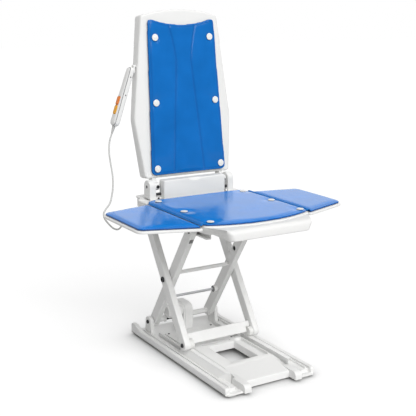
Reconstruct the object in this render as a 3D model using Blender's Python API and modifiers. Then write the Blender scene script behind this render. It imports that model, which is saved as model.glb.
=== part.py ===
"""Bath lift chair: a scissor lift on a suction cup base, with folding side flaps, a reclining back and a
hand control that hangs on the back's left side. Metres, +Z up, front towards -Y, origin on the floor."""
import math

import bmesh
import bpy
from mathutils import Matrix, Vector

# Fits
GAP = 0.0003
RUNNING_GAP = 0.0015
TRUE_MERGE = 0.00001
STEP_IN = 0.001
NIP = 0.0005
ROUND_STEPS = 16
SMALL_STEPS = 12
EDGE_ROUND = 0.0015

# Base tray
BASE_LENGTH = 0.590
BASE_WIDTH = 0.306
BASE_CORNER = 0.012
FOOT_HEIGHT = 0.006
CUP_RADIUS = 0.018
CUP_NECK_RADIUS = 0.011
CUP_INSET_X = 0.028
CUP_INSET_Y = 0.034
FLOOR_THICKNESS = 0.006
WALL_WIDTH = 0.0135
WALL_TOP = 0.028
WALL_ROUND = 0.003
WALL_FRONT_INSET = 0.014
HUMP_LENGTH = 0.062
HUMP_TOP = 0.040
RIDGE_INSET = 0.0185
RIDGE_WIDTH = 0.0055
RIDGE_TOP = 0.0205
RIDGE_FRONT_INSET = 0.028
RIDGE_REAR_INSET = 0.035
LOW_RAIL_WIDTH = 0.007
LOW_RAIL_DROP = 0.014
PLATFORM_WIDTH = 0.178
PLATFORM_FRONT = -0.173
PLATFORM_REAR = 0.020
PLATFORM_TOP = 0.038
WINDOW_WIDTH = 0.094
WINDOW_FRONT = -0.147
WINDOW_REAR = -0.016
APRON_WIDTH = 0.153
APRON_FRONT_INSET = 0.011
APRON_REAR_TOP = 0.031
APRON_FRONT_TOP = 0.017
NOSE_LUG_WIDTH = 0.023
NOSE_LUG_LENGTH = 0.068
NOSE_LUG_TOP = 0.031
FLOOR_COVER_WIDTH = 0.176
FLOOR_COVER_FRONT = 0.040
FLOOR_COVER_HEIGHT = 0.012
FLOOR_COVER_WALL = 0.003
COVER_SLOT_LENGTH = 0.090
COVER_SLOT_WIDTH = 0.009

# Scissor lift, drawn raised
LIFT_ANGLE = math.radians(56.0)
ARM_LENGTH = 0.422
ARM_WIDTH = 0.034
ARM_THICKNESS = 0.020
ARM_ROUND = 0.002
OUTER_ARM_X = 0.1235
REAR_PIVOT_Y = 0.226
LOW_PIVOT_Z = 0.0585
TRACK_GLIDE_RADIUS = 0.0147
TRACK_GLIDE_LENGTH = 0.0145
SEAT_GLIDE_RADIUS = 0.0095
SEAT_GLIDE_LENGTH = 0.0148
GLIDE_STUB_RADIUS = 0.005
AXLE_RADIUS = 0.006
AXLE_COLLAR_RADIUS = 0.0105
AXLE_COLLAR_WIDTH = 0.004
PIVOT_LUG_WIDTH = 0.013
PIVOT_LUG_RADIUS = 0.017
BOLT_RADIUS = 0.005
BOLT_HEAD_RADIUS = 0.0085
BOLT_HEAD_HEIGHT = 0.004
CROSS_TUBE_RADIUS = 0.006
CROSS_TUBE_AT = 0.555
CROSS_ROD_RADIUS = 0.004
CROSS_ROD_AT = 0.27
CROSS_ROD_BOSS_RADIUS = 0.010
CROSS_ROD_BOSS_LENGTH = 0.012
CROSS_PLATE_START = -0.001
CROSS_PLATE_WIDTH = 0.034
CROSS_PLATE_EAR = 0.0155
CROSS_PLATE_THICKNESS = 0.006

# Drive on the rear axle
GEAR_MODULE = 0.0015
WHEEL_TEETH = 30
PINION_TEETH = 10
GEAR_WIDTH = 0.014
GEAR_HAND = math.radians(120.0)
GEARBOX_LEFT = -0.0125
GEARBOX_RIGHT = 0.0185
GEARBOX_FRONT = 0.185
GEARBOX_REAR = 0.267
GEARBOX_TOP = 0.108
GEARBOX_WALL = 0.004
GEARBOX_SUMP = 0.018
GEARBOX_ROUND = 0.003
GEARBOX_CROWN = 0.022
MOTOR_RADIUS = 0.0222
MOTOR_LENGTH = 0.046
MOTOR_FLANGE = 0.004
MOTOR_FLANGE_INSET = 0.002
MOTOR_ROUND = 0.003
PINION_SHAFT_RADIUS = 0.003
PINION_SHAFT_IN_MOTOR = 0.016

# Seat
SEAT_DROP_TO_PIVOT = 0.064
SEAT_WIDTH = 0.353
SEAT_REAR_WIDTH = 0.310
SEAT_SHOULDER_Y = 0.185
SEAT_TAPER = 0.025
SEAT_REAR_Y = 0.250
SEAT_FRONT_Y = -0.2475
SEAT_FRONT_CORNER_Y = -0.205
SEAT_FRONT_ROUND = 0.018
SEAT_REAR_ROUND = 0.010
SEAT_SHELL_HEIGHT = 0.035
SEAT_SKIN = 0.005
SEAT_RIM_HEIGHT = 0.012
SEAT_BODY_INSET = 0.026
SEAT_BODY_FRONT_Y = -0.190
SEAT_BODY_CORNER = 0.050
RIB_WIDTH = 0.003
RIB_START = 0.030
NOSE_FRONT_Y = -0.276
NOSE_WIDTH = 0.274
NOSE_FLARE = ((0.0, 0.118), (0.35, 0.131), (0.68, 0.149), (1.0, 0.1735))
NOSE_ROOT_Y = -0.205
NOSE_TOP_DROP = 0.003
NOSE_ROUND = 0.005
NOSE_CORNER = 0.016
NOSE_HEEL = 0.8
NOSE_HEEL_Y = -0.170
PAD_THICKNESS = 0.0085
PAD_EDGE = 0.003
PAD_CROWN = 0.0016
PAD_EDGE_INSET = 0.003
PAD_REAR_Y = 0.134
PAD_REAR_ROUND = 0.010
SEAT_PAD_BORDER = 0.78
BRACKET_FLANGE_HEIGHT = 0.006
BRACKET_WEB = 0.0035
BRACKET_FRONT_Y = -0.212
TRACK_LENGTH = 0.222
TRACK_FRONT_Y = -0.208
TRACK_FLANGE = 0.0045
KEEPER_FRONT_Y = -0.075
SEAT_PIN_RADIUS = 0.006
SEAT_PIN_HEAD_RADIUS = 0.010
BRACKET_LUG_RADIUS = 0.018

# Back hinge
HINGE_Y = 0.175
HINGE_RISE = 0.0397
HINGE_PIN_RADIUS = 0.0045
CHEEK_RADIUS = 0.0205
CHEEK_WIDTH = 0.0215
HOUSING_FOOT_HEIGHT = 0.007
BACK_LUG_WIDTH = 0.0155
BACK_LUG_RADIUS = 0.013
PANEL_WIDTH = 0.2185
PANEL_FRONT_Y = 0.140
PANEL_REAR_Y = 0.1735
PANEL_HEIGHT = 0.060
PANEL_WALL = 0.004
PANEL_ROUND = 0.006

# Side flaps
FLAP_WIDTH = 0.168
FLAP_REAR_Y = 0.112
FLAP_OUTER_REAR_Y = 0.078
FLAP_OUTER_FRONT_Y = -0.150
FLAP_FRONT_Y = -0.210
FLAP_THICKNESS = 0.008
FLAP_PAD_TOP_STEP = 0.004
FLAP_CORNER = 0.024
FLAP_REAR_CORNER = 0.022
FLAP_INNER_CORNER = 0.008
FLAP_PAD_BORDER = 0.84
KNUCKLE_RADIUS = 0.0034
HINGE_ROD_RADIUS = 0.0018
KNUCKLE_COUNT = 5
KNUCKLE_GAP = 0.001
KNUCKLE_FRONT_INSET = 0.030
KNUCKLE_REAR_INSET = 0.012
KNUCKLE_ROOT = 0.006
FLAP_HINGE_DROP = 0.0055

# Back
BACK_LEAN = math.radians(6.2)
BACK_FRONT_OFFSET = 0.004
BACK_BOTTOM_OFFSET = 0.0236
BACK_LENGTH = 0.507
BACK_CORNER_LENGTH = 0.490
BACK_BULGE_LENGTH = 0.180
BACK_BOTTOM_WIDTH = 0.300
BACK_BULGE_WIDTH = 0.342
BACK_TOP_WIDTH = 0.266
BACK_THICKNESS = 0.040
BACK_ROUND = 0.004
BACK_CORNER = 0.012
BACK_BULGE_CORNER = 0.10
BACK_SKIN = 0.006
BACK_POCKETS_ACROSS = 3
BACK_POCKETS_UP = 5
BACK_POCKET_FIELD_WIDTH = 0.222
BACK_POCKET_FIELD_LENGTH = 0.432
BACK_POCKET_START = 0.037
BACK_LUG_ROOT_FRONT = 0.003
BACK_LUG_ROOT_REAR = 0.027
BACK_LUG_ROOT_HEIGHT = 0.012
BACK_PAD_THICKNESS = 0.0115
BACK_PAD_BOTTOM = 0.007
BACK_PAD_CORNER = 0.478
BACK_PAD_DIP = 0.016
BACK_PAD_BOTTOM_WIDTH = 0.267
BACK_PAD_TOP_WIDTH = 0.234
BACK_PAD_TOP_ROUND = 0.011
BACK_PAD_BOTTOM_ROUND = 0.016
BACK_PAD_BORDER = 0.70
CHANNEL_TOP_X = 0.045
CHANNEL_WAIST_X = 0.026
CHANNEL_WAIST_LENGTH = 0.350
CHANNEL_BOTTOM_X = 0.0535
CHANNEL_RADIUS = 0.0035
CHANNEL_DEPTH = 0.002
CHANNEL_OVERRUN = 0.010
CHANNEL_STEP = 0.030

# Studs that hold the pads
STUD_HEAD_RADIUS = 0.0105
STUD_HEAD_HEIGHT = 0.003
STUD_SHANK_RADIUS = 0.003
STUD_BITE = 0.0035
SEAT_STUD_INSET = 0.0255
SEAT_STUD_YS = (0.100, -0.053, -0.196)
BACK_STUDS = ((0.0955, 0.4225), (0.1045, 0.2275), (0.1130, 0.0280))

# Hand control
HANDSET_ASIDE = 0.0452
HANDSET_BEHIND = 0.0294
HANDSET_UP = 0.252
HANDSET_TILT = math.radians(19.3)
HANDSET_LENGTH = 0.185
HANDSET_WIDTH = 0.038
HANDSET_TOP_WIDTH = 0.030
HANDSET_DEPTH = 0.023
HANDSET_ROUND = 0.004
HANDSET_CORNER = 0.010
HANDSET_WALL = 0.003
HOOK_WIDTH = 0.014
HOOK_THICKNESS = 0.006
HOOK_HEIGHT = 0.098
HOOK_BITE = 0.006
BUTTON_LENGTH = 0.025
BUTTON_WIDTH = 0.019
BUTTON_PROUD = 0.002
BUTTON_HEIGHT = 0.007
BUTTON_TRAVEL = 0.0012
BUTTON_STEP = 0.0285
BUTTON_MIDDLE = -0.029
BUTTON_CORNER = 0.005
BUTTON_ROUND = 0.001
RELIEF_LENGTH = 0.020
RELIEF_RADIUS = 0.0055
RELIEF_COLLAR = 0.004

# Hand control cord
CORD_RADIUS = 0.0026
CORD_POINT_STEP = 0.0125
GLAND_Y = 0.137
GLAND_DROP = 0.0236
GLAND_LENGTH = 0.016
GLAND_RADIUS = 0.009
GLAND_FLANGE = 0.004
CORD_ROUTE = (
    (-0.2420, 0.2350, 0.6560), (-0.2480, 0.2290, 0.6370), (-0.2530, 0.2180, 0.6140),
    (-0.2565, 0.2020, 0.5880), (-0.2600, 0.1840, 0.5600), (-0.2660, 0.1690, 0.5320),
    (-0.2745, 0.1590, 0.5050), (-0.2860, 0.1500, 0.4820), (-0.3010, 0.1430, 0.4690),
    (-0.3120, 0.1390, 0.4560), (-0.3100, 0.1370, 0.4400), (-0.2980, 0.1360, 0.4230),
    (-0.2840, 0.1355, 0.4085), (-0.2690, 0.1355, 0.4030), (-0.2560, 0.1360, 0.4120),
    (-0.2440, 0.1365, 0.4270), (-0.2290, 0.1370, 0.4400), (-0.2120, 0.1370, 0.4470),
)

# Places that follow from the sizes
FLOOR_TOP = FOOT_HEIGHT + FLOOR_THICKNESS
HALF_LENGTH = BASE_LENGTH / 2
HALF_WIDTH = BASE_WIDTH / 2
INNER_ARM_X = OUTER_ARM_X - ARM_THICKNESS - RUNNING_GAP
INNER_FACE_X = INNER_ARM_X - ARM_THICKNESS / 2
OUTER_FACE_X = OUTER_ARM_X + ARM_THICKNESS / 2
BRACKET_OUTER = INNER_ARM_X + ARM_THICKNESS / 2
BRACKET_INNER = INNER_FACE_X - SEAT_GLIDE_LENGTH - 2 * GAP - BRACKET_WEB
ARM_REACH = ARM_LENGTH * math.cos(LIFT_ANGLE)
ARM_RISE = ARM_LENGTH * math.sin(LIFT_ANGLE)
FRONT_PIVOT_Y = REAR_PIVOT_Y - ARM_REACH
HIGH_PIVOT_Z = LOW_PIVOT_Z + ARM_RISE
CROSSING_Y = REAR_PIVOT_Y - ARM_REACH / 2
CROSSING_Z = LOW_PIVOT_Z + ARM_RISE / 2
RAIL_TOP = LOW_PIVOT_Z - TRACK_GLIDE_RADIUS - GAP
RAIL_OUTER_X = OUTER_ARM_X - ARM_THICKNESS / 2 - RUNNING_GAP / 2
SEAT_TOP_Z = HIGH_PIVOT_Z + SEAT_DROP_TO_PIVOT
SEAT_BOTTOM_Z = SEAT_TOP_Z - SEAT_SHELL_HEIGHT
PAD_TOP_Z = SEAT_TOP_Z + GAP + PAD_THICKNESS
HINGE_Z = SEAT_TOP_Z + HINGE_RISE
PANEL_TOP_Z = SEAT_TOP_Z + GAP + PANEL_HEIGHT
GLAND_Z = SEAT_TOP_Z - GLAND_DROP
SEAT_BODY_HALF = SEAT_WIDTH / 2 - SEAT_BODY_INSET
SEAT_STUD_X = SEAT_WIDTH / 2 - SEAT_STUD_INSET
BACK_LUG_INNER = PANEL_WIDTH / 2 + 2 * RUNNING_GAP
FLAP_HINGE_X = SEAT_WIDTH / 2 + RUNNING_GAP / 2
FLAP_HINGE_Z = PAD_TOP_Z - FLAP_HINGE_DROP
FLAP_TOP_Z = SEAT_TOP_Z - FLAP_PAD_TOP_STEP
PINION_Y = REAR_PIVOT_Y + GEAR_MODULE * (WHEEL_TEETH + PINION_TEETH) / 2 * math.cos(GEAR_HAND)
PINION_Z = LOW_PIVOT_Z + GEAR_MODULE * (WHEEL_TEETH + PINION_TEETH) / 2 * math.sin(GEAR_HAND)

for leftover in list(bpy.data.objects):
    bpy.data.objects.remove(leftover, do_unlink=True)


def new_collection(name):
    made = bpy.data.collections.new(name)
    bpy.context.scene.collection.children.link(made)
    return made


PARTS = new_collection("bath_lift_chair")
CUTTERS = new_collection("cutters")


def finish(name, colour, roughness, metallic=0.0):
    """A Principled material in the colour of the real surface."""
    made = bpy.data.materials.new(name)
    made.use_nodes = True
    shader = made.node_tree.nodes["Principled BSDF"]
    shader.inputs["Base Color"].default_value = (*colour, 1.0)
    shader.inputs["Roughness"].default_value = roughness
    shader.inputs["Metallic"].default_value = metallic
    return made


WHITE_PLASTIC = finish("white_plastic", (0.84, 0.84, 0.83), 0.42)
PAD_VINYL = finish("blue_pad_foam", (0.015, 0.165, 0.552), 0.55)
DARK_STEEL = finish("dark_bolt_steel", (0.03, 0.03, 0.032), 0.40, 0.8)
BRIGHT_STEEL = finish("bright_rod_steel", (0.62, 0.63, 0.65), 0.22, 1.0)
GREY_NYLON = finish("grey_glide_nylon", (0.28, 0.28, 0.29), 0.5)
CUP_RUBBER = finish("grey_cup_rubber", (0.42, 0.42, 0.42), 0.7)
ORANGE_KEY = finish("orange_key", (0.85, 0.24, 0.02), 0.45)
AMBER_KEY = finish("amber_key", (0.90, 0.46, 0.02), 0.45)
CORD_GREY = finish("cord_grey", (0.55, 0.55, 0.55), 0.55)


def pivot(name, at, tilt=0.0, parent=None):
    """An empty on a joint's axis, which carries the pieces that turn on it."""
    empty = bpy.data.objects.new(name, None)
    PARTS.objects.link(empty)
    hang(empty, Matrix.Translation(at) @ Matrix.Rotation(tilt, 4, "X"), parent)
    return empty


def hang(thing, place, parent):
    """Put a thing at a place in the world and parent it there."""
    thing.matrix_basis = place
    if parent is not None:
        thing.parent = parent
        thing.matrix_parent_inverse = parent.matrix_world.inverted()
    bpy.context.view_layer.update()


def part(name, mesh, look, parent, place=Matrix.Identity(4)):
    """One named piece with its finish, at its place."""
    made = bpy.data.objects.new(name, mesh)
    PARTS.objects.link(made)
    mesh.materials.clear()
    mesh.materials.append(look)
    mesh.shade_smooth()
    mesh.set_sharp_from_angle(angle=math.radians(32.0))
    hang(made, place, parent)
    return made


def soften(piece, width, segments=1):
    """Round the sharp edges of a piece."""
    bevel = piece.modifiers.new("rounded_edges", "BEVEL")
    bevel.width = width
    bevel.segments = segments
    bevel.limit_method = "ANGLE"
    bevel.angle_limit = math.radians(40.0)


def shape(piece, name, mesh, place=Matrix.Identity(4), operation="DIFFERENCE"):
    """Cut a mesh out of a piece, or join it to the piece."""
    tool = bpy.data.objects.new(piece.name + "_" + name, mesh)
    CUTTERS.objects.link(tool)
    tool.matrix_basis = place
    tool.hide_render = True
    tool.display_type = "WIRE"
    step = piece.modifiers.new(name, "BOOLEAN")
    step.object = tool
    step.operation = operation
    step.solver = "EXACT"
    return tool


def mesh_of(work, name):
    mesh = bpy.data.meshes.new(name)
    work.to_mesh(mesh)
    work.free()
    return mesh


def add_box(work, low, high):
    """A box between two corners, added to a working mesh."""
    spread = Vector(high) - Vector(low)
    middle = (Vector(high) + Vector(low)) / 2
    place = Matrix.Translation(middle) @ Matrix.Diagonal((*spread, 1.0))
    bmesh.ops.create_cube(work, size=1.0, matrix=place)


def boxes(name, *corners):
    """A mesh of one or more boxes, each given by its low and high corners."""
    work = bmesh.new()
    for low, high in corners:
        add_box(work, low, high)
    return mesh_of(work, name)


def mirrored(low, high):
    """The same box on the left side."""
    return (-high[0], low[1], low[2]), (-low[0], high[1], high[2])


def along(start, end):
    """A place at a start point with its Z axis towards an end point."""
    heading = Vector(end) - Vector(start)
    return Matrix.Translation(start) @ heading.to_track_quat("Z", "Y").to_matrix().to_4x4()


def rods(name, radius, *ends, steps=ROUND_STEPS):
    """A mesh of one or more plain round bars, each given by its two end points."""
    work = bmesh.new()
    for start, end in ends:
        length = (Vector(end) - Vector(start)).length
        place = along(start, end) @ Matrix.Translation((0, 0, length / 2))
        bmesh.ops.create_cone(work, cap_ends=True, segments=steps, radius1=radius,
                              radius2=radius, depth=length, matrix=place)
    return mesh_of(work, name)


def turned(name, profile, look, parent, place, steps=ROUND_STEPS):
    """A turned piece: radius and height pairs from the top of its axis down to the bottom."""
    work = bmesh.new()
    rim = [work.verts.new((radius, 0.0, height)) for radius, height in profile]
    for upper, lower in zip(rim, rim[1:]):
        work.edges.new((upper, lower))
    piece = part(name, mesh_of(work, name), look, parent, place)
    screw = piece.modifiers.new("turn", "SCREW")
    screw.steps = steps
    screw.render_steps = steps
    screw.use_merge_vertices = True
    screw.merge_threshold = TRUE_MERGE
    screw.use_smooth_shade = True
    return piece


def rounded(corners, steps=4):
    """An outline from corners (x, y, radius), each corner replaced by an arc."""
    outline = []
    count = len(corners)
    for index, (x, y, radius) in enumerate(corners):
        corner = Vector((x, y))
        back = (Vector(corners[index - 1][:2]) - corner).normalized()
        ahead = (Vector(corners[(index + 1) % count][:2]) - corner).normalized()
        half = back.angle(ahead) / 2
        if radius == 0 or half > math.radians(89.0):
            outline.append((x, y))
            continue
        centre = corner + (back + ahead).normalized() * (radius / math.sin(half))
        first = corner + back * (radius / math.tan(half)) - centre
        swing = first.angle_signed(corner + ahead * (radius / math.tan(half)) - centre)
        for step in range(steps + 1):
            spoke = first.copy()
            spoke.rotate(Matrix.Rotation(-swing * step / steps, 2))
            outline.append(tuple(centre + spoke))
    return outline


def arc(start, middle, end, steps):
    """Points on the circle through three points, without its end points."""
    ax, ay = Vector(start) - Vector(middle)
    bx, by = Vector(end) - Vector(middle)
    turn = 2 * (ax * by - ay * bx)
    ux = (by * (ax * ax + ay * ay) - ay * (bx * bx + by * by)) / turn
    uy = (ax * (bx * bx + by * by) - bx * (ax * ax + ay * ay)) / turn
    centre = Vector(middle) + Vector((ux, uy))
    first = Vector(start) - centre
    swing = first.angle_signed(Vector(end) - centre)
    points = []
    for step in range(1, steps):
        spoke = first.copy()
        spoke.rotate(Matrix.Rotation(-swing * step / steps, 2))
        points.append(tuple(centre + spoke))
    return points


def plate(name, outline, thickness):
    """A flat outline in XY, filled and extruded to both sides of its plane, as a welded mesh."""
    curve = bpy.data.curves.new(name, "CURVE")
    curve.dimensions = "2D"
    curve.fill_mode = "BOTH"
    curve.extrude = thickness / 2
    spline = curve.splines.new("POLY")
    spline.points.add(len(outline) - 1)
    for point, (x, y) in zip(spline.points, outline):
        point.co = (x, y, 0.0, 1.0)
    spline.use_cyclic_u = True
    drawn = bpy.data.objects.new(name, curve)
    PARTS.objects.link(drawn)
    graph = bpy.context.evaluated_depsgraph_get()
    mesh = bpy.data.meshes.new_from_object(drawn.evaluated_get(graph))
    bpy.data.objects.remove(drawn, do_unlink=True)
    work = bmesh.new()
    work.from_mesh(mesh)
    bmesh.ops.remove_doubles(work, verts=work.verts, dist=TRUE_MERGE)
    bmesh.ops.dissolve_limit(work, angle_limit=math.radians(1.0), verts=work.verts, edges=work.edges)
    bmesh.ops.recalc_face_normals(work, faces=work.faces)
    work.to_mesh(mesh)
    work.free()
    return mesh


def cushion(name, outline, thickness, crown, border):
    """A pad on its own base plane: drawn-in rounded sides and a crowned top inside a flat border."""
    mesh = plate(name, outline, thickness)
    work = bmesh.new()
    work.from_mesh(mesh)
    bmesh.ops.translate(work, vec=(0, 0, thickness / 2), verts=work.verts)
    rims = [edge for edge in work.edges if abs(edge.verts[0].co.z - edge.verts[1].co.z) < TRUE_MERGE]
    bmesh.ops.bevel(work, geom=rims, offset=PAD_EDGE, segments=2, profile=0.5, affect="EDGES")
    top = max(work.faces, key=lambda face: (face.calc_center_median().z, face.calc_area()))
    middle = top.calc_center_bounds()
    for scale, rise in ((border, 0.0), (0.86, 0.55 * crown), (0.72, 0.35 * crown), (0.5, 0.10 * crown)):
        raised = bmesh.ops.extrude_face_region(work, geom=[top])
        bmesh.ops.delete(work, geom=[top], context="FACES_ONLY")
        top = next(item for item in raised["geom"] if isinstance(item, bmesh.types.BMFace))
        shrink = Matrix.Translation(middle) @ Matrix.Diagonal((scale, scale, 1.0, 1.0))
        shrink = shrink @ Matrix.Translation(-middle)
        bmesh.ops.transform(work, matrix=shrink, verts=top.verts)
        bmesh.ops.translate(work, vec=(0, 0, rise), verts=top.verts)
    bmesh.ops.recalc_face_normals(work, faces=work.faces)
    work.to_mesh(mesh)
    work.free()
    return mesh


def smooth_route(points, step):
    """Evenly spaced points on a smooth curve through the given points."""
    knots = [Vector(point) for point in points]
    padded = [2 * knots[0] - knots[1], *knots, 2 * knots[-1] - knots[-2]]
    fine = []
    for before, start, end, after in zip(padded, padded[1:], padded[2:], padded[3:]):
        for share in (index / 20 for index in range(20)):
            bend = (2 * before - 5 * start + 4 * end - after) * share ** 2
            twist = (3 * start - 3 * end + after - before) * share ** 3
            fine.append((2 * start + (end - before) * share + bend + twist) / 2)
    fine.append(knots[-1])
    length = sum((b - a).length for a, b in zip(fine, fine[1:]))
    pitch = length / round(length / step)
    route = [fine[0]]
    walked = 0.0
    for a, b in zip(fine, fine[1:]):
        walked += (b - a).length
        if walked >= pitch * len(route) - TRUE_MERGE:
            route.append(b)
    route[-1] = knots[-1]
    return route, length


def gear_outline(teeth):
    """A spur gear's outline with straight flanks and running clearance, a tooth on +X."""
    root = GEAR_MODULE * (teeth / 2 - 1.2)
    tip = GEAR_MODULE * (teeth / 2 + 0.8)
    outline = []
    for tooth in range(teeth):
        middle = math.tau * tooth / teeth
        pitch = math.tau / teeth
        for radius, half in ((root, -0.30), (tip, -0.11), (tip, 0.11), (root, 0.30)):
            angle = middle + half * pitch
            outline.append((radius * math.cos(angle), radius * math.sin(angle)))
    return outline


# Joint axes, each an empty that carries its pieces
BASE = pivot("base_frame", (0, 0, 0))
LIFT = pivot("lift_axis", (0, REAR_PIVOT_Y, LOW_PIVOT_Z), parent=BASE)
PINION = pivot("pinion_axis", (0, PINION_Y, PINION_Z), parent=BASE)
CROSSING = pivot("crossing_axis", (0, CROSSING_Y, CROSSING_Z), parent=LIFT)
SEAT = pivot("seat_axis", (0, REAR_PIVOT_Y, HIGH_PIVOT_Z), parent=CROSSING)
BACK = pivot("recline_axis", (0, HINGE_Y, HINGE_Z), -BACK_LEAN, SEAT)
FLAPS = {side: pivot("flap_axis_" + name, (side * FLAP_HINGE_X, 0, FLAP_HINGE_Z), parent=SEAT)
         for side, name in ((-1, "left"), (1, "right"))}
SIDES = ((-1, "left"), (1, "right"))


def on_side(side, low, high):
    return (low, high) if side > 0 else mirrored(low, high)


def upright_plate(outline, x, width, y=0.0, z=0.0):
    """A plate drawn in the YZ plane, as wide as given about x, with the place that stands it there."""
    stand = Matrix(((0, 0, 1, x), (1, 0, 0, y), (0, 1, 0, z), (0, 0, 0, 1)))
    return plate("upright", outline, width), stand


def build_base():
    """The moulded tray with its walls, rails, platform and pivot lugs, its floor cover and suction cups."""
    x, y = HALF_WIDTH - STEP_IN, HALF_LENGTH - STEP_IN
    front = -HALF_LENGTH + APRON_FRONT_INSET
    tip = front - 2 * STEP_IN
    floor = plate("base_tray", rounded([(-x, tip, BASE_CORNER), (x, tip, BASE_CORNER),
                                        (x, y, BASE_CORNER), (-x, y, BASE_CORNER)]), FLOOR_THICKNESS)
    middle = FOOT_HEIGHT + FLOOR_THICKNESS / 2
    tray = part("base_tray", floor, WHITE_PLASTIC, BASE, Matrix.Translation((0, 0, middle)))
    for side, name in SIDES:
        add_base_side(tray, side, name)
    root = FOOT_HEIGHT + FLOOR_THICKNESS * 0.4
    deck = ((-PLATFORM_WIDTH / 2, PLATFORM_FRONT, root), (PLATFORM_WIDTH / 2, PLATFORM_REAR, PLATFORM_TOP))
    soften(shape(tray, "platform", boxes("platform", deck), operation="UNION"), WALL_ROUND)
    apron_rear = PLATFORM_FRONT + BASE_CORNER
    wedge, stand = upright_plate([(front, FOOT_HEIGHT - NIP), (apron_rear, FOOT_HEIGHT - NIP),
                                  (apron_rear, APRON_REAR_TOP), (front, APRON_FRONT_TOP)], 0, APRON_WIDTH)
    shape(tray, "apron", wedge, stand, "UNION")
    window = ((-WINDOW_WIDTH / 2, WINDOW_FRONT, 0), (WINDOW_WIDTH / 2, WINDOW_REAR, 2 * PLATFORM_TOP))
    shape(tray, "window", boxes("window", window))
    axle_line = ((-HALF_WIDTH, REAR_PIVOT_Y, LOW_PIVOT_Z), (HALF_WIDTH, REAR_PIVOT_Y, LOW_PIVOT_Z))
    shape(tray, "axle_hole", rods("axle_hole", AXLE_RADIUS + GAP, axle_line))

    half = FLOOR_COVER_WIDTH / 2
    rear = GEARBOX_FRONT - RUNNING_GAP
    low = FLOOR_TOP + GAP
    lid = ((-half, FLOOR_COVER_FRONT, low), (half, rear, low + FLOOR_COVER_HEIGHT))
    cover = part("floor_cover", boxes("floor_cover", lid), WHITE_PLASTIC, BASE)
    soften(cover, FLOOR_COVER_WALL / 3)
    wall = FLOOR_COVER_WALL
    cell = (2 * half - 4 * wall) / 3
    cells = []
    for left in (-half + wall + index * (cell + wall) for index in range(3)):
        top = low + FLOOR_COVER_HEIGHT - wall
        cells.append(((left, FLOOR_COVER_FRONT + wall, 0.0), (left + cell, rear - wall, top)))
    shape(cover, "hollow", boxes("hollow", *cells))
    slot = FLOOR_COVER_FRONT + 3 * COVER_SLOT_WIDTH
    slot_half = COVER_SLOT_LENGTH / 2
    opening = ((-slot_half, slot, low + wall), (slot_half, slot + COVER_SLOT_WIDTH, 2 * PLATFORM_TOP))
    shape(cover, "slot", boxes("slot", opening))

    neck = FOOT_HEIGHT - GAP
    skirt = [(0.0, neck), (CUP_NECK_RADIUS, neck), (CUP_NECK_RADIUS * 1.15, FOOT_HEIGHT * 0.7),
             (CUP_RADIUS, FOOT_HEIGHT * 0.2), (CUP_RADIUS, 0.0), (0.0, 0.0)]
    for side, name in SIDES:
        for way, end in ((-1, "front"), (1, "rear")):
            at = (side * (HALF_WIDTH - CUP_INSET_X), way * (HALF_LENGTH - CUP_INSET_Y), 0)
            turned(f"suction_cup_{end}_{name}", skirt, CUP_RUBBER, BASE, Matrix.Translation(at))


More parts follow.
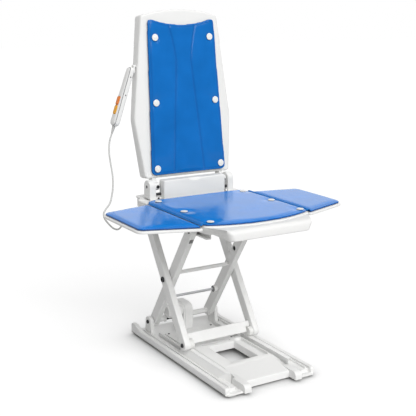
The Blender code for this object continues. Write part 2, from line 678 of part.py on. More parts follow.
def add_base_side(tray, side, name):
    """One side of the tray: outer wall with its rear hump, ridge, rails, front lug and rear pivot lug."""
    root = FOOT_HEIGHT + FLOOR_THICKNESS * 0.4
    wall_inner = HALF_WIDTH - WALL_WIDTH
    wall_front = -HALF_LENGTH + WALL_FRONT_INSET
    wall = on_side(side, (wall_inner, wall_front, FOOT_HEIGHT - NIP), (HALF_WIDTH, HALF_LENGTH, WALL_TOP))
    soften(shape(tray, "wall_" + name, boxes("wall", wall), operation="UNION"), WALL_ROUND, 2)
    hump_rear = HALF_LENGTH - STEP_IN
    hump_front = HALF_LENGTH - HUMP_LENGTH
    hump_rise = HUMP_TOP - WALL_TOP
    hump_outline = rounded([(hump_front, root, 0), (hump_rear, root, 0), (hump_rear, HUMP_TOP, hump_rise),
                            (hump_front + HUMP_LENGTH * 0.58, HUMP_TOP, hump_rise),
                            (hump_front, WALL_TOP - WALL_ROUND, hump_rise)])
    wall_middle = side * (wall_inner + WALL_WIDTH / 2)
    hump, stand = upright_plate(hump_outline, wall_middle, WALL_WIDTH - 2 * STEP_IN)
    shape(tray, "hump_" + name, hump, stand, "UNION")
    ridge_outer = HALF_WIDTH - RIDGE_INSET
    ridge = on_side(side, (ridge_outer - RIDGE_WIDTH, -HALF_LENGTH + RIDGE_FRONT_INSET, root),
                    (ridge_outer, HALF_LENGTH - RIDGE_REAR_INSET, RIDGE_TOP))
    soften(shape(tray, "ridge_" + name, boxes("ridge", ridge), operation="UNION"), RIDGE_WIDTH / 4)
    rail_inner = RAIL_OUTER_X - TRACK_GLIDE_LENGTH - 2 * RUNNING_GAP
    travel = ARM_LENGTH - ARM_REACH + 2 * TRACK_GLIDE_RADIUS
    rail_rear = FRONT_PIVOT_Y + 2.5 * TRACK_GLIDE_RADIUS
    rail_front = FRONT_PIVOT_Y - travel
    rail = on_side(side, (rail_inner, rail_front, root - NIP), (RAIL_OUTER_X, rail_rear, RAIL_TOP))
    soften(shape(tray, "rail_" + name, boxes("rail", rail), operation="UNION"), WALL_ROUND / 2)
    low_start = rail_inner + STEP_IN
    low_rear = REAR_PIVOT_Y - 2 * PIVOT_LUG_RADIUS
    low_rail = on_side(side, (low_start, rail_rear - BASE_CORNER, root + NIP),
                       (low_start + LOW_RAIL_WIDTH, low_rear, RAIL_TOP - LOW_RAIL_DROP))
    soften(shape(tray, "low_rail_" + name, boxes("low_rail", low_rail), operation="UNION"), WALL_ROUND / 2)
    lug_inner = APRON_WIDTH / 2 - STEP_IN
    lug = on_side(side, (lug_inner, -HALF_LENGTH, root + STEP_IN),
                  (lug_inner + NOSE_LUG_WIDTH, -HALF_LENGTH + NOSE_LUG_LENGTH, NOSE_LUG_TOP))
    soften(shape(tray, "front_lug_" + name, boxes("front_lug", lug), operation="UNION"), WALL_ROUND, 2)
    pivot_inner = INNER_ARM_X + ARM_THICKNESS / 2 + RUNNING_GAP
    r = PIVOT_LUG_RADIUS
    foot, top = root + STEP_IN + NIP, LOW_PIVOT_Z + r
    post_outline = rounded([(-r * 1.3, foot, 0), (r * 1.3, foot, 0), (r, top, r * 0.98), (-r, top, r * 0.98)])
    post_middle = side * (pivot_inner + PIVOT_LUG_WIDTH / 2)
    post, stand = upright_plate(post_outline, post_middle, PIVOT_LUG_WIDTH, REAR_PIVOT_Y)
    soften(shape(tray, "pivot_lug_" + name, post, stand, "UNION"), WALL_ROUND / 2)


def crowned_block(left, right, inset, low):
    """A block of the gearbox's side view, drawn in by an inset, with rounded upper corners."""
    front, rear, top = GEARBOX_FRONT + inset, GEARBOX_REAR - inset, GEARBOX_TOP - inset
    crown = GEARBOX_CROWN - inset
    outline = rounded([(front, low, 0), (rear, low, 0), (rear, top, crown), (front, top, crown)], 5)
    return upright_plate(outline, (left + right) / 2, right - left)


def build_drive():
    """The gearbox and motor round the rear axle, with the wheel on the axle and the motor's pinion."""
    case, stand = crowned_block(GEARBOX_LEFT, GEARBOX_RIGHT, 0.0, FLOOR_TOP + GAP)
    box = part("gearbox_housing", case, WHITE_PLASTIC, BASE, stand)
    soften(box, GEARBOX_ROUND)
    sump = FLOOR_TOP + GEARBOX_SUMP
    inside_right = GEARBOX_RIGHT - GEARBOX_WALL
    hollow, stand = crowned_block(GEARBOX_LEFT - HALF_WIDTH, inside_right, GEARBOX_WALL, sump)
    shape(box, "hollow", hollow, stand)
    bore = AXLE_RADIUS + 2 * GAP
    axle_line = (Vector((-1, REAR_PIVOT_Y, LOW_PIVOT_Z)), Vector((1, REAR_PIVOT_Y, LOW_PIVOT_Z)))
    shape(box, "axle_bore", rods("axle_bore", bore, axle_line))

    def on_shaft(start, end):
        return (start, PINION_Y, PINION_Z), (end, PINION_Y, PINION_Z)

    seat_radius = PINION_SHAFT_RADIUS + GAP
    shaft_end = GEARBOX_RIGHT - GEARBOX_WALL / 2
    box_seat = rods("shaft_seat", seat_radius, on_shaft(0, shaft_end + GAP), steps=SMALL_STEPS)
    shape(box, "shaft_seat", box_seat)
    flange_right = GEARBOX_LEFT - GAP
    flange_left = flange_right - MOTOR_FLANGE
    rim = MOTOR_FLANGE_INSET
    lid, stand = crowned_block(flange_left, flange_right, rim, sump - rim)
    motor = part("drive_motor", lid, WHITE_PLASTIC, BASE, stand)
    drum = rods("drum", MOTOR_RADIUS, on_shaft(flange_left - MOTOR_LENGTH, flange_right - MOTOR_FLANGE / 2))
    soften(shape(motor, "drum", drum, operation="UNION"), MOTOR_ROUND)
    shape(motor, "axle_bore", rods("axle_bore", bore, axle_line))
    shaft_start = flange_right - PINION_SHAFT_IN_MOTOR
    motor_seat = rods("shaft_seat", seat_radius, on_shaft(shaft_start - GAP, 0), steps=SMALL_STEPS)
    shape(motor, "shaft_seat", motor_seat)

    centre_x = (GEARBOX_LEFT + inside_right) / 2
    sideways = Matrix(((0, 0, 1, 0), (1, 0, 0, 0), (0, 1, 0, 0), (0, 0, 0, 1)))
    on_axle = Matrix.Translation((centre_x, REAR_PIVOT_Y, LOW_PIVOT_Z)) @ sideways
    wheel = part("drive_wheel", plate("drive_wheel", gear_outline(WHEEL_TEETH), GEAR_WIDTH), GREY_NYLON, LIFT,
                 on_axle @ Matrix.Rotation(GEAR_HAND, 4, "Z"))
    shape(wheel, "bore", rods("bore", AXLE_RADIUS + GAP, axle_line))
    half_pitch = math.pi / PINION_TEETH
    in_mesh = Matrix.Translation((centre_x, PINION_Y, PINION_Z)) @ sideways
    pinion = part("drive_pinion", plate("drive_pinion", gear_outline(PINION_TEETH), GEAR_WIDTH), BRIGHT_STEEL,
                  PINION, in_mesh @ Matrix.Rotation(GEAR_HAND + math.pi + half_pitch, 4, "Z"))
    shaft = rods("shaft", PINION_SHAFT_RADIUS, on_shaft(shaft_start, shaft_end), steps=SMALL_STEPS)
    shape(pinion, "shaft", shaft, operation="UNION")


def arm_place(x, y, heading):
    """A place at an arm's lower pivot: X along the arm, Z across the chair."""
    c, s = math.cos(heading), math.sin(heading)
    return Matrix(((0, 0, 1, x), (c, -s, 0, y), (s, c, 0, LOW_PIVOT_Z), (0, 0, 0, 1)))


def arm_mesh(name):
    r = ARM_WIDTH / 2
    far = ARM_LENGTH + r
    corners = [(-r, -r, r * 0.98), (far, -r, r * 0.98), (far, r, r * 0.98), (-r, r, r * 0.98)]
    return plate(name, rounded(corners, 5), ARM_THICKNESS)


def headed_bolt(name, radius, head_radius, inner, parent, centre, side):
    """A bolt along X whose low head lies on the outer arm's outer face."""
    head = OUTER_FACE_X + GAP
    cap = head + BOLT_HEAD_HEIGHT
    profile = [(0.0, cap), (head_radius * 0.85, cap), (head_radius, head + BOLT_HEAD_HEIGHT * 0.6),
               (head_radius, head), (radius, head), (radius, inner), (0.0, inner)]
    turned(name, profile, DARK_STEEL, parent, along(centre, centre + Vector((side, 0, 0))))


def glide(name, radius, length, face, parent, centre, side):
    """A nylon glide against an arm's inner face, with a stub into the arm."""
    stub_end = face + ARM_THICKNESS * 0.8
    profile = [(0.0, stub_end), (GLIDE_STUB_RADIUS, stub_end), (GLIDE_STUB_RADIUS, face - GAP),
               (radius, face - GAP), (radius, face - length), (0.0, face - length)]
    turned(name, profile, GREY_NYLON, parent, along(centre, centre + Vector((side, 0, 0))))
    hole_end = Vector((side * (stub_end + GAP), 0, 0))
    return rods("glide_hole", GLIDE_STUB_RADIUS + GAP, (centre, centre + hole_end), steps=SMALL_STEPS)


def build_inner_arms():
    """The inner pair of arms on the rear axle, with their cross bars and the glides under the seat."""
    heading = math.pi - LIFT_ANGLE
    direction = Vector((0, math.cos(heading), math.sin(heading)))
    foot = Vector((0, REAR_PIVOT_Y, LOW_PIVOT_Z))
    crossing = Vector((0, CROSSING_Y, CROSSING_Z))
    for side, name in SIDES:
        arm = part("inner_arm_" + name, arm_mesh("inner_arm_" + name), WHITE_PLASTIC, LIFT,
                   arm_place(side * INNER_ARM_X, REAR_PIVOT_Y, heading))
        soften(arm, ARM_ROUND)
        out = Vector((side * HALF_WIDTH, 0, 0))
        top = foot + direction * ARM_LENGTH
        shape(arm, "axle_hole", rods("axle_hole", AXLE_RADIUS + GAP, (foot, foot + out)))
        shape(arm, "bolt_hole", rods("bolt_hole", BOLT_RADIUS + GAP, (crossing, crossing + out)))
        hole = glide("seat_glide_" + name, SEAT_GLIDE_RADIUS, SEAT_GLIDE_LENGTH, INNER_FACE_X, LIFT,
                     top, side)
        shape(arm, "glide_hole", hole)
    end = INNER_FACE_X - GAP
    across = Vector((end, 0, 0))
    tube_at = foot + direction * ARM_LENGTH * CROSS_TUBE_AT
    tube = rods("cross_tube", CROSS_TUBE_RADIUS, (tube_at - across, tube_at + across))
    part("cross_tube", tube, WHITE_PLASTIC, LIFT)
    rod_at = foot + direction * ARM_LENGTH * CROSS_ROD_AT
    neck = end - CROSS_ROD_BOSS_LENGTH
    half_bar = [(0.0, end), (CROSS_ROD_BOSS_RADIUS, end), (CROSS_ROD_BOSS_RADIUS, neck),
                (CROSS_ROD_RADIUS, neck)]
    bar = half_bar + [(radius, -height) for radius, height in reversed(half_bar)]
    turned("cross_rod", bar, BRIGHT_STEEL, LIFT, along(rod_at, rod_at + across))
    tip = INNER_ARM_X + ARM_THICKNESS / 2 + PIVOT_LUG_WIDTH + 3 * RUNNING_GAP
    collar = end - AXLE_COLLAR_WIDTH
    half_shaft = [(0.0, tip), (AXLE_RADIUS, tip), (AXLE_RADIUS, end), (AXLE_COLLAR_RADIUS, end),
                  (AXLE_COLLAR_RADIUS, collar), (AXLE_RADIUS, collar)]
    shaft = half_shaft + [(radius, -height) for radius, height in reversed(half_shaft)]
    turned("rear_axle", shaft, DARK_STEEL, LIFT, along(foot, foot + across))


def build_outer_arms():
    """The outer pair of arms with their cross plate, the glides on the base rails and the crossing bolts."""
    foot = Vector((0, FRONT_PIVOT_Y, LOW_PIVOT_Z))
    direction = Vector((0, math.cos(LIFT_ANGLE), math.sin(LIFT_ANGLE)))
    crossing = Vector((0, CROSSING_Y, CROSSING_Z))
    inner_face = OUTER_ARM_X - ARM_THICKNESS / 2
    for side, name in SIDES:
        arm = part("outer_arm_" + name, arm_mesh("outer_arm_" + name), WHITE_PLASTIC, CROSSING,
                   arm_place(side * OUTER_ARM_X, FRONT_PIVOT_Y, LIFT_ANGLE))
        soften(arm, ARM_ROUND)
        out = Vector((side * HALF_WIDTH, 0, 0))
        top = foot + direction * ARM_LENGTH
        shape(arm, "bolt_hole", rods("bolt_hole", BOLT_RADIUS + GAP, (crossing, crossing + out)))
        shape(arm, "pin_hole", rods("pin_hole", SEAT_PIN_RADIUS + GAP, (top, top + out)))
        hole = glide("track_glide_" + name, TRACK_GLIDE_RADIUS, TRACK_GLIDE_LENGTH, inner_face, CROSSING,
                     foot, side)
        shape(arm, "glide_hole", hole)
        headed_bolt("crossing_bolt_" + name, BOLT_RADIUS, BOLT_HEAD_RADIUS, INNER_FACE_X + GAP, CROSSING,
                    crossing, side)
    span = inner_face - GAP
    thick = CROSS_PLATE_THICKNESS / 2
    far = CROSS_PLATE_START + CROSS_PLATE_WIDTH
    between = span - TRACK_GLIDE_LENGTH - RUNNING_GAP
    place = arm_place(0, FRONT_PIVOT_Y, LIFT_ANGLE)
    skirt = rounded([(CROSS_PLATE_START, -between, 0), (CROSS_PLATE_EAR, -between, 0), (CROSS_PLATE_EAR, -span, 0),
                     (far, -span, 0), (far, span, 0), (CROSS_PLATE_EAR, span, 0), (CROSS_PLATE_EAR, between, 0),
                     (CROSS_PLATE_START, between, 0)])
    flat = Matrix(((1, 0, 0, 0), (0, 0, -1, 0), (0, 1, 0, 0), (0, 0, 0, 1)))
    soften(part("cross_plate", plate("cross_plate", skirt, 2 * thick), WHITE_PLASTIC, CROSSING, place @ flat),
           thick / 2)


def seat_outline(half, front_y, corner, rear):
    """An outline with the seat's bowed front, closed at the rear by the given left-hand corners."""
    bow = arc((-half, SEAT_FRONT_CORNER_Y), (0, front_y), (half, SEAT_FRONT_CORNER_Y), 10)
    left = [*rear, (-half, SEAT_FRONT_CORNER_Y, corner)]
    right = [(-x, y, radius) for x, y, radius in reversed(left)]
    return rounded([*left, *[(x, y, 0) for x, y in bow], *right])


def knuckle_spans(own):
    """The stretches of a flap hinge that belong to the seat (0) or to the flap (1)."""
    start = FLAP_FRONT_Y + KNUCKLE_FRONT_INSET
    pitch = (FLAP_REAR_Y - KNUCKLE_REAR_INSET - start) / KNUCKLE_COUNT
    return [(start + index * pitch + KNUCKLE_GAP / 2, start + (index + 1) * pitch - KNUCKLE_GAP / 2)
            for index in range(own, KNUCKLE_COUNT, 2)]


def add_knuckles(piece, side, own, neck_inner, neck_outer, neck_low):
    """Hinge knuckles with their necks, bored for the hinge rod."""
    x = side * FLAP_HINGE_X
    spans = knuckle_spans(own)
    necks = []
    lines = []
    for front, rear in spans:
        necks.append(on_side(side, (neck_inner, front, neck_low), (neck_outer, rear, FLAP_HINGE_Z)))
        lines.append(((x, front - TRUE_MERGE, FLAP_HINGE_Z), (x, rear + TRUE_MERGE, FLAP_HINGE_Z)))
    shape(piece, f"necks_{side}", boxes("necks", *necks), operation="UNION")
    barrels = rods("knuckles", KNUCKLE_RADIUS, *lines, steps=SMALL_STEPS)
    shape(piece, f"knuckles_{side}", barrels, operation="UNION")
    bore_line = ((x, FLAP_FRONT_Y, FLAP_HINGE_Z), (x, FLAP_REAR_Y, FLAP_HINGE_Z))
    bore = rods("rod_bore", HINGE_ROD_RADIUS + GAP, bore_line, steps=SMALL_STEPS)
    shape(piece, f"rod_bore_{side}", bore)


def stud(name, parent, place, shank):
    """A push stud: a low domed head on its shank."""
    r, h = STUD_HEAD_RADIUS, STUD_HEAD_HEIGHT
    profile = [(0.0, h), (r * 0.72, h * 0.82), (r, h * 0.25), (r, 0.0), (STUD_SHANK_RADIUS, 0.0),
               (STUD_SHANK_RADIUS, -shank), (0.0, -shank)]
    turned(name, profile, WHITE_PLASTIC, parent, place, SMALL_STEPS)


def nose_mesh():
    """The seat's front nose: a straight front whose ends sweep out to the rim above and in below."""
    low = SEAT_BOTTOM_Z + STEP_IN
    height = SEAT_SHELL_HEIGHT - NOSE_TOP_DROP - STEP_IN
    wide = NOSE_WIDTH / 2
    work = bmesh.new()
    loops = []
    for share, root in NOSE_FLARE:
        outline = rounded([(-root, NOSE_ROOT_Y, 0), (-wide, NOSE_FRONT_Y, NOSE_CORNER),
                           (wide, NOSE_FRONT_Y, NOSE_CORNER), (root, NOSE_ROOT_Y, 0),
                           (root * NOSE_HEEL, NOSE_HEEL_Y, 0), (-root * NOSE_HEEL, NOSE_HEEL_Y, 0)])
        loops.append([work.verts.new((x, y, low + share * height)) for x, y in outline])
    count = len(loops[0])
    for lower, upper in zip(loops, loops[1:]):
        for index in range(count):
            after = (index + 1) % count
            work.faces.new((lower[index], lower[after], upper[after], upper[index]))
    work.faces.new(loops[0])
    work.faces.new(loops[-1])
    bmesh.ops.triangulate(work, faces=work.faces)
    bmesh.ops.recalc_face_normals(work, faces=work.faces)
    return mesh_of(work, "nose")


def build_seat():
    """The seat shell with its nose and ribs, and what is fixed to it."""
    half = SEAT_WIDTH / 2
    rear_half = SEAT_REAR_WIDTH / 2
    outline = seat_outline(half, SEAT_FRONT_Y, SEAT_FRONT_ROUND,
                           [(-rear_half, SEAT_REAR_Y, SEAT_REAR_ROUND),
                            (-rear_half, SEAT_SHOULDER_Y + SEAT_TAPER, SEAT_REAR_ROUND),
                            (-half, SEAT_SHOULDER_Y, SEAT_REAR_ROUND)])
    shell = part("seat_shell", plate("seat_shell", outline, SEAT_RIM_HEIGHT), WHITE_PLASTIC, SEAT,
                 Matrix.Translation((0, 0, SEAT_TOP_Z - SEAT_RIM_HEIGHT / 2)))
    soften(shell, EDGE_ROUND)
    wide, rear = SEAT_BODY_HALF, SEAT_REAR_Y - STEP_IN
    body = rounded([(-wide, SEAT_BODY_FRONT_Y, SEAT_BODY_CORNER), (wide, SEAT_BODY_FRONT_Y, SEAT_BODY_CORNER),
                    (wide, rear, SEAT_REAR_ROUND), (-wide, rear, SEAT_REAR_ROUND)])
    body_height = SEAT_SHELL_HEIGHT - SEAT_RIM_HEIGHT / 2
    body_place = Matrix.Translation((0, 0, SEAT_BOTTOM_Z + body_height / 2))
    soften(shape(shell, "body", plate("body", body, body_height), body_place, "UNION"), EDGE_ROUND)
    soften(shape(shell, "nose", nose_mesh(), operation="UNION"), NOSE_ROUND)
    for side, name in SIDES:
        neck_inner = FLAP_HINGE_X - KNUCKLE_RADIUS + TRUE_MERGE
        add_knuckles(shell, side, 0, neck_inner, FLAP_HINGE_X, SEAT_TOP_Z - KNUCKLE_ROOT)
        spans = knuckle_spans(0)
        x = side * FLAP_HINGE_X
        line = ((x, spans[0][0], FLAP_HINGE_Z), (x, spans[-1][1], FLAP_HINGE_Z))
        rod = rods("hinge_rod", HINGE_ROD_RADIUS, line, steps=SMALL_STEPS)
        part("flap_hinge_rod_" + name, rod, BRIGHT_STEEL, SEAT)
    add_seat_ribs(shell)
    build_seat_pad(shell)
    build_panel()
    for side, name in SIDES:
        build_bracket(side, name)

    tip = CORD_RADIUS + NIP
    gland = [(0.0, GLAND_LENGTH), (tip, GLAND_LENGTH), (GLAND_RADIUS * 0.6, GLAND_FLANGE),
             (GLAND_RADIUS, GLAND_FLANGE), (GLAND_RADIUS, 0.0), (0.0, 0.0)]
    at = Vector((-SEAT_BODY_HALF - GAP, GLAND_Y, GLAND_Z))
    turned("cable_gland", gland, WHITE_PLASTIC, SEAT, along(at, at - Vector((1, 0, 0))))


def add_seat_ribs(shell):
    """Pockets cut into the shell from below, which leave a top skin and a grid of ribs over the brackets."""
    columns = ((RIB_WIDTH / 2, BRACKET_INNER - RIB_WIDTH),
               (BRACKET_INNER + RIB_WIDTH, BRACKET_OUTER - RIB_WIDTH),
               (BRACKET_OUTER + RIB_WIDTH, SEAT_BODY_HALF - 2 * RIB_WIDTH))
    end = SEAT_REAR_Y - 3 * RIB_WIDTH
    start = SEAT_BODY_FRONT_Y + RIB_START
    pockets = []
    for (inner, outer), start, rows in zip(columns, (start, start, start + RIB_START), (5, 5, 4)):
        pitch = (end - start + RIB_WIDTH) / rows
        for front in (start + row * pitch for row in range(rows)):
            low = (inner, front, SEAT_BOTTOM_Z - SEAT_SHELL_HEIGHT)
            cell = (low, (outer, front + pitch - RIB_WIDTH, SEAT_TOP_Z - SEAT_SKIN))
            pockets += [cell, mirrored(*cell)]
    shape(shell, "rib_pockets", boxes("rib_pockets", *pockets))


def build_seat_pad(shell):
    """The seat pad and the studs that hold it to the shell."""
    spots = [(side * SEAT_STUD_X, y) for y in SEAT_STUD_YS for side in (-1, 1)]
    lines = [((x, y, SEAT_TOP_Z - STUD_BITE - GAP), (x, y, PAD_TOP_Z + PAD_THICKNESS)) for x, y in spots]
    half = SEAT_WIDTH / 2 - PAD_EDGE_INSET
    outline = seat_outline(half, SEAT_FRONT_Y + PAD_EDGE_INSET, SEAT_FRONT_ROUND - PAD_EDGE_INSET,
                           [(-half, PAD_REAR_Y, PAD_REAR_ROUND)])
    form = cushion("seat_pad", outline, PAD_THICKNESS, PAD_CROWN, SEAT_PAD_BORDER)
    pad = part("seat_pad", form, PAD_VINYL, SEAT, Matrix.Translation((0, 0, SEAT_TOP_Z + GAP)))
    for piece in (shell, pad):
        holes = rods("stud_holes", STUD_SHANK_RADIUS + GAP, *lines, steps=SMALL_STEPS)
        shape(piece, "stud_holes", holes)
    names = [f"seat_stud_{row}_{name}" for row in ("rear", "middle", "front") for _, name in SIDES]
    for name, (x, y) in zip(names, spots):
        stud(name, SEAT, Matrix.Translation((x, y, PAD_TOP_Z + GAP)), PAD_THICKNESS + GAP + STUD_BITE)


def build_panel():
    """The hinge housing: a hollow panel, open below on the seat, with a cheek at each end."""
    half = PANEL_WIDTH / 2
    low = SEAT_TOP_Z + GAP
    block = ((-half, PANEL_FRONT_Y, low), (half, PANEL_REAR_Y, PANEL_TOP_Z))
    housing = part("hinge_housing", boxes("hinge_housing", block), WHITE_PLASTIC, SEAT)
    soften(housing, PANEL_ROUND, 2)
    wall = PANEL_WALL
    cell = (PANEL_WIDTH - 4 * wall) / 3
    cells = []
    for left in (-half + wall + index * (cell + wall) for index in range(3)):
        corner = (left, PANEL_FRONT_Y + wall, SEAT_BOTTOM_Z)
        cells.append((corner, (left + cell, PANEL_REAR_Y - wall, PANEL_TOP_Z - 2 * wall)))
    shape(housing, "hollow", boxes("hollow", *cells))
    for side, name in SIDES:
        add_cheek(housing, side, name)


def add_cheek(housing, side, name):
    """One cheek of the hinge housing on its foot, bored for the back's hinge pin, and that pin."""
    inner = BACK_LUG_INNER + BACK_LUG_WIDTH + RUNNING_GAP
    r = CHEEK_RADIUS
    low = SEAT_TOP_Z + GAP
    foot = on_side(side, (PANEL_WIDTH / 2 - PANEL_WALL / 2, HINGE_Y - r + PANEL_WALL, low + NIP),
                   (inner + PANEL_WALL, PANEL_REAR_Y - PANEL_WALL, low + HOUSING_FOOT_HEIGHT))
    shape(housing, "foot_" + name, boxes("foot", foot), operation="UNION")
    outline = rounded([(-r, low - HINGE_Z, 0), (r * 1.15, low - HINGE_Z, 0), (r, r, r * 0.98),
                       (-r, r, r * 0.98)], 5)
    cheek, stand = upright_plate(outline, side * (inner + CHEEK_WIDTH / 2), CHEEK_WIDTH, HINGE_Y, HINGE_Z)
    soften(shape(housing, "cheek_" + name, cheek, stand, "UNION"), EDGE_ROUND)
    pin_in = BACK_LUG_INNER - RUNNING_GAP / 2
    pin_out = inner + CHEEK_WIDTH + GAP
    axis = Vector((0, HINGE_Y, HINGE_Z))
    out = Vector((side, 0, 0))
    bore_line = (axis + out * pin_in, axis + out * (pin_out + RUNNING_GAP))
    shape(housing, "pin_hole_" + name, rods("pin_hole", HINGE_PIN_RADIUS + GAP, bore_line))
    pin = [(0.0, pin_out), (HINGE_PIN_RADIUS, pin_out), (HINGE_PIN_RADIUS, pin_in), (0.0, pin_in)]
    turned("back_hinge_pin_" + name, pin, DARK_STEEL, SEAT, along(axis, axis + out))


def build_bracket(side, name):
    """One seat bracket: a flange under the shell, the track for an inner arm's glide and the rear lug."""
    flange_top = SEAT_BOTTOM_Z - GAP
    flange = on_side(side, (BRACKET_INNER, BRACKET_FRONT_Y, flange_top - BRACKET_FLANGE_HEIGHT),
                     (BRACKET_OUTER, REAR_PIVOT_Y + BRACKET_LUG_RADIUS, flange_top))
    bracket = part("seat_bracket_" + name, boxes("seat_bracket", flange), WHITE_PLASTIC, SEAT)
    track_top = HIGH_PIVOT_Z + SEAT_GLIDE_RADIUS + GAP
    track_low = HIGH_PIVOT_Z - SEAT_GLIDE_RADIUS - GAP
    lip = INNER_FACE_X - RUNNING_GAP
    track_rear = TRACK_FRONT_Y + TRACK_LENGTH
    rail = on_side(side, (BRACKET_INNER + NIP, TRACK_FRONT_Y, track_top),
                   (lip, track_rear, flange_top - NIP))
    shape(bracket, "track", boxes("track", rail), operation="UNION")
    keeper = on_side(side, (BRACKET_INNER + 2 * NIP, KEEPER_FRONT_Y, track_low - TRACK_FLANGE),
                     (lip - NIP, track_rear - NIP, track_top + NIP))
    shape(bracket, "keeper", boxes("keeper", keeper), operation="UNION")
    hollow = on_side(side, (BRACKET_INNER + BRACKET_WEB, KEEPER_FRONT_Y - STEP_IN, track_low),
                     (lip + STEP_IN, track_rear + STEP_IN, track_top))
    shape(bracket, "channel", boxes("channel", hollow))
    r = BRACKET_LUG_RADIUS
    width = BRACKET_OUTER - INNER_FACE_X - NIP
    rear, head = r - NIP, flange_top - NIP - HIGH_PIVOT_Z
    outline = rounded([(-r, -r, r * 0.98), (rear, -r, r * 0.98), (rear, head, 0), (-r, head, 0)], 5)
    lug, stand = upright_plate(outline, side * (INNER_FACE_X + width / 2), width, REAR_PIVOT_Y, HIGH_PIVOT_Z)
    shape(bracket, "lug", lug, stand, "UNION")
    centre = Vector((0, REAR_PIVOT_Y, HIGH_PIVOT_Z))
    pin_line = (centre, centre + Vector((side, 0, 0)))
    shape(bracket, "pin_hole", rods("pin_hole", SEAT_PIN_RADIUS + GAP, pin_line))
    headed_bolt("seat_pivot_pin_" + name, SEAT_PIN_RADIUS, SEAT_PIN_HEAD_RADIUS, lip, SEAT, centre, side)


def build_flaps():
    """The side flaps: a plate with a pad, hinged to the seat's edge so that it folds up."""
    inner = FLAP_HINGE_X + RUNNING_GAP / 2
    outer = inner + FLAP_WIDTH
    edge = PAD_EDGE_INSET
    pad_inner = FLAP_HINGE_X + KNUCKLE_RADIUS + 2 * GAP
    pad_outer = outer - edge
    shell_outline = rounded([(inner, FLAP_REAR_Y, FLAP_INNER_CORNER), (inner, FLAP_FRONT_Y, FLAP_INNER_CORNER),
                             (outer, FLAP_OUTER_FRONT_Y, FLAP_CORNER),
                             (outer, FLAP_OUTER_REAR_Y, FLAP_REAR_CORNER)])
    pad_outline = rounded([(pad_inner, FLAP_REAR_Y - edge, FLAP_INNER_CORNER),
                           (pad_inner, FLAP_FRONT_Y + edge, FLAP_INNER_CORNER),
                           (pad_outer, FLAP_OUTER_FRONT_Y + edge / 2, FLAP_CORNER - edge),
                           (pad_outer, FLAP_OUTER_REAR_Y - edge, FLAP_REAR_CORNER - edge)], 6)
    for side, name in SIDES:
        sheet = plate("flap_shell", [(side * x, y) for x, y in shell_outline], FLAP_THICKNESS)
        shell = part("flap_shell_" + name, sheet, WHITE_PLASTIC, FLAPS[side],
                     Matrix.Translation((0, 0, FLAP_TOP_Z - FLAP_THICKNESS / 2)))
        soften(shell, EDGE_ROUND)
        neck_outer = FLAP_HINGE_X + KNUCKLE_RADIUS - TRUE_MERGE
        add_knuckles(shell, side, 1, FLAP_HINGE_X, neck_outer, FLAP_TOP_Z - KNUCKLE_ROOT)
        mirrored_outline = [(side * x, y) for x, y in pad_outline]
        form = cushion("flap_pad", mirrored_outline, PAD_THICKNESS, PAD_CROWN, FLAP_PAD_BORDER)
        part("flap_pad_" + name, form, PAD_VINYL, FLAPS[side], Matrix.Translation((0, 0, FLAP_TOP_Z + GAP)))


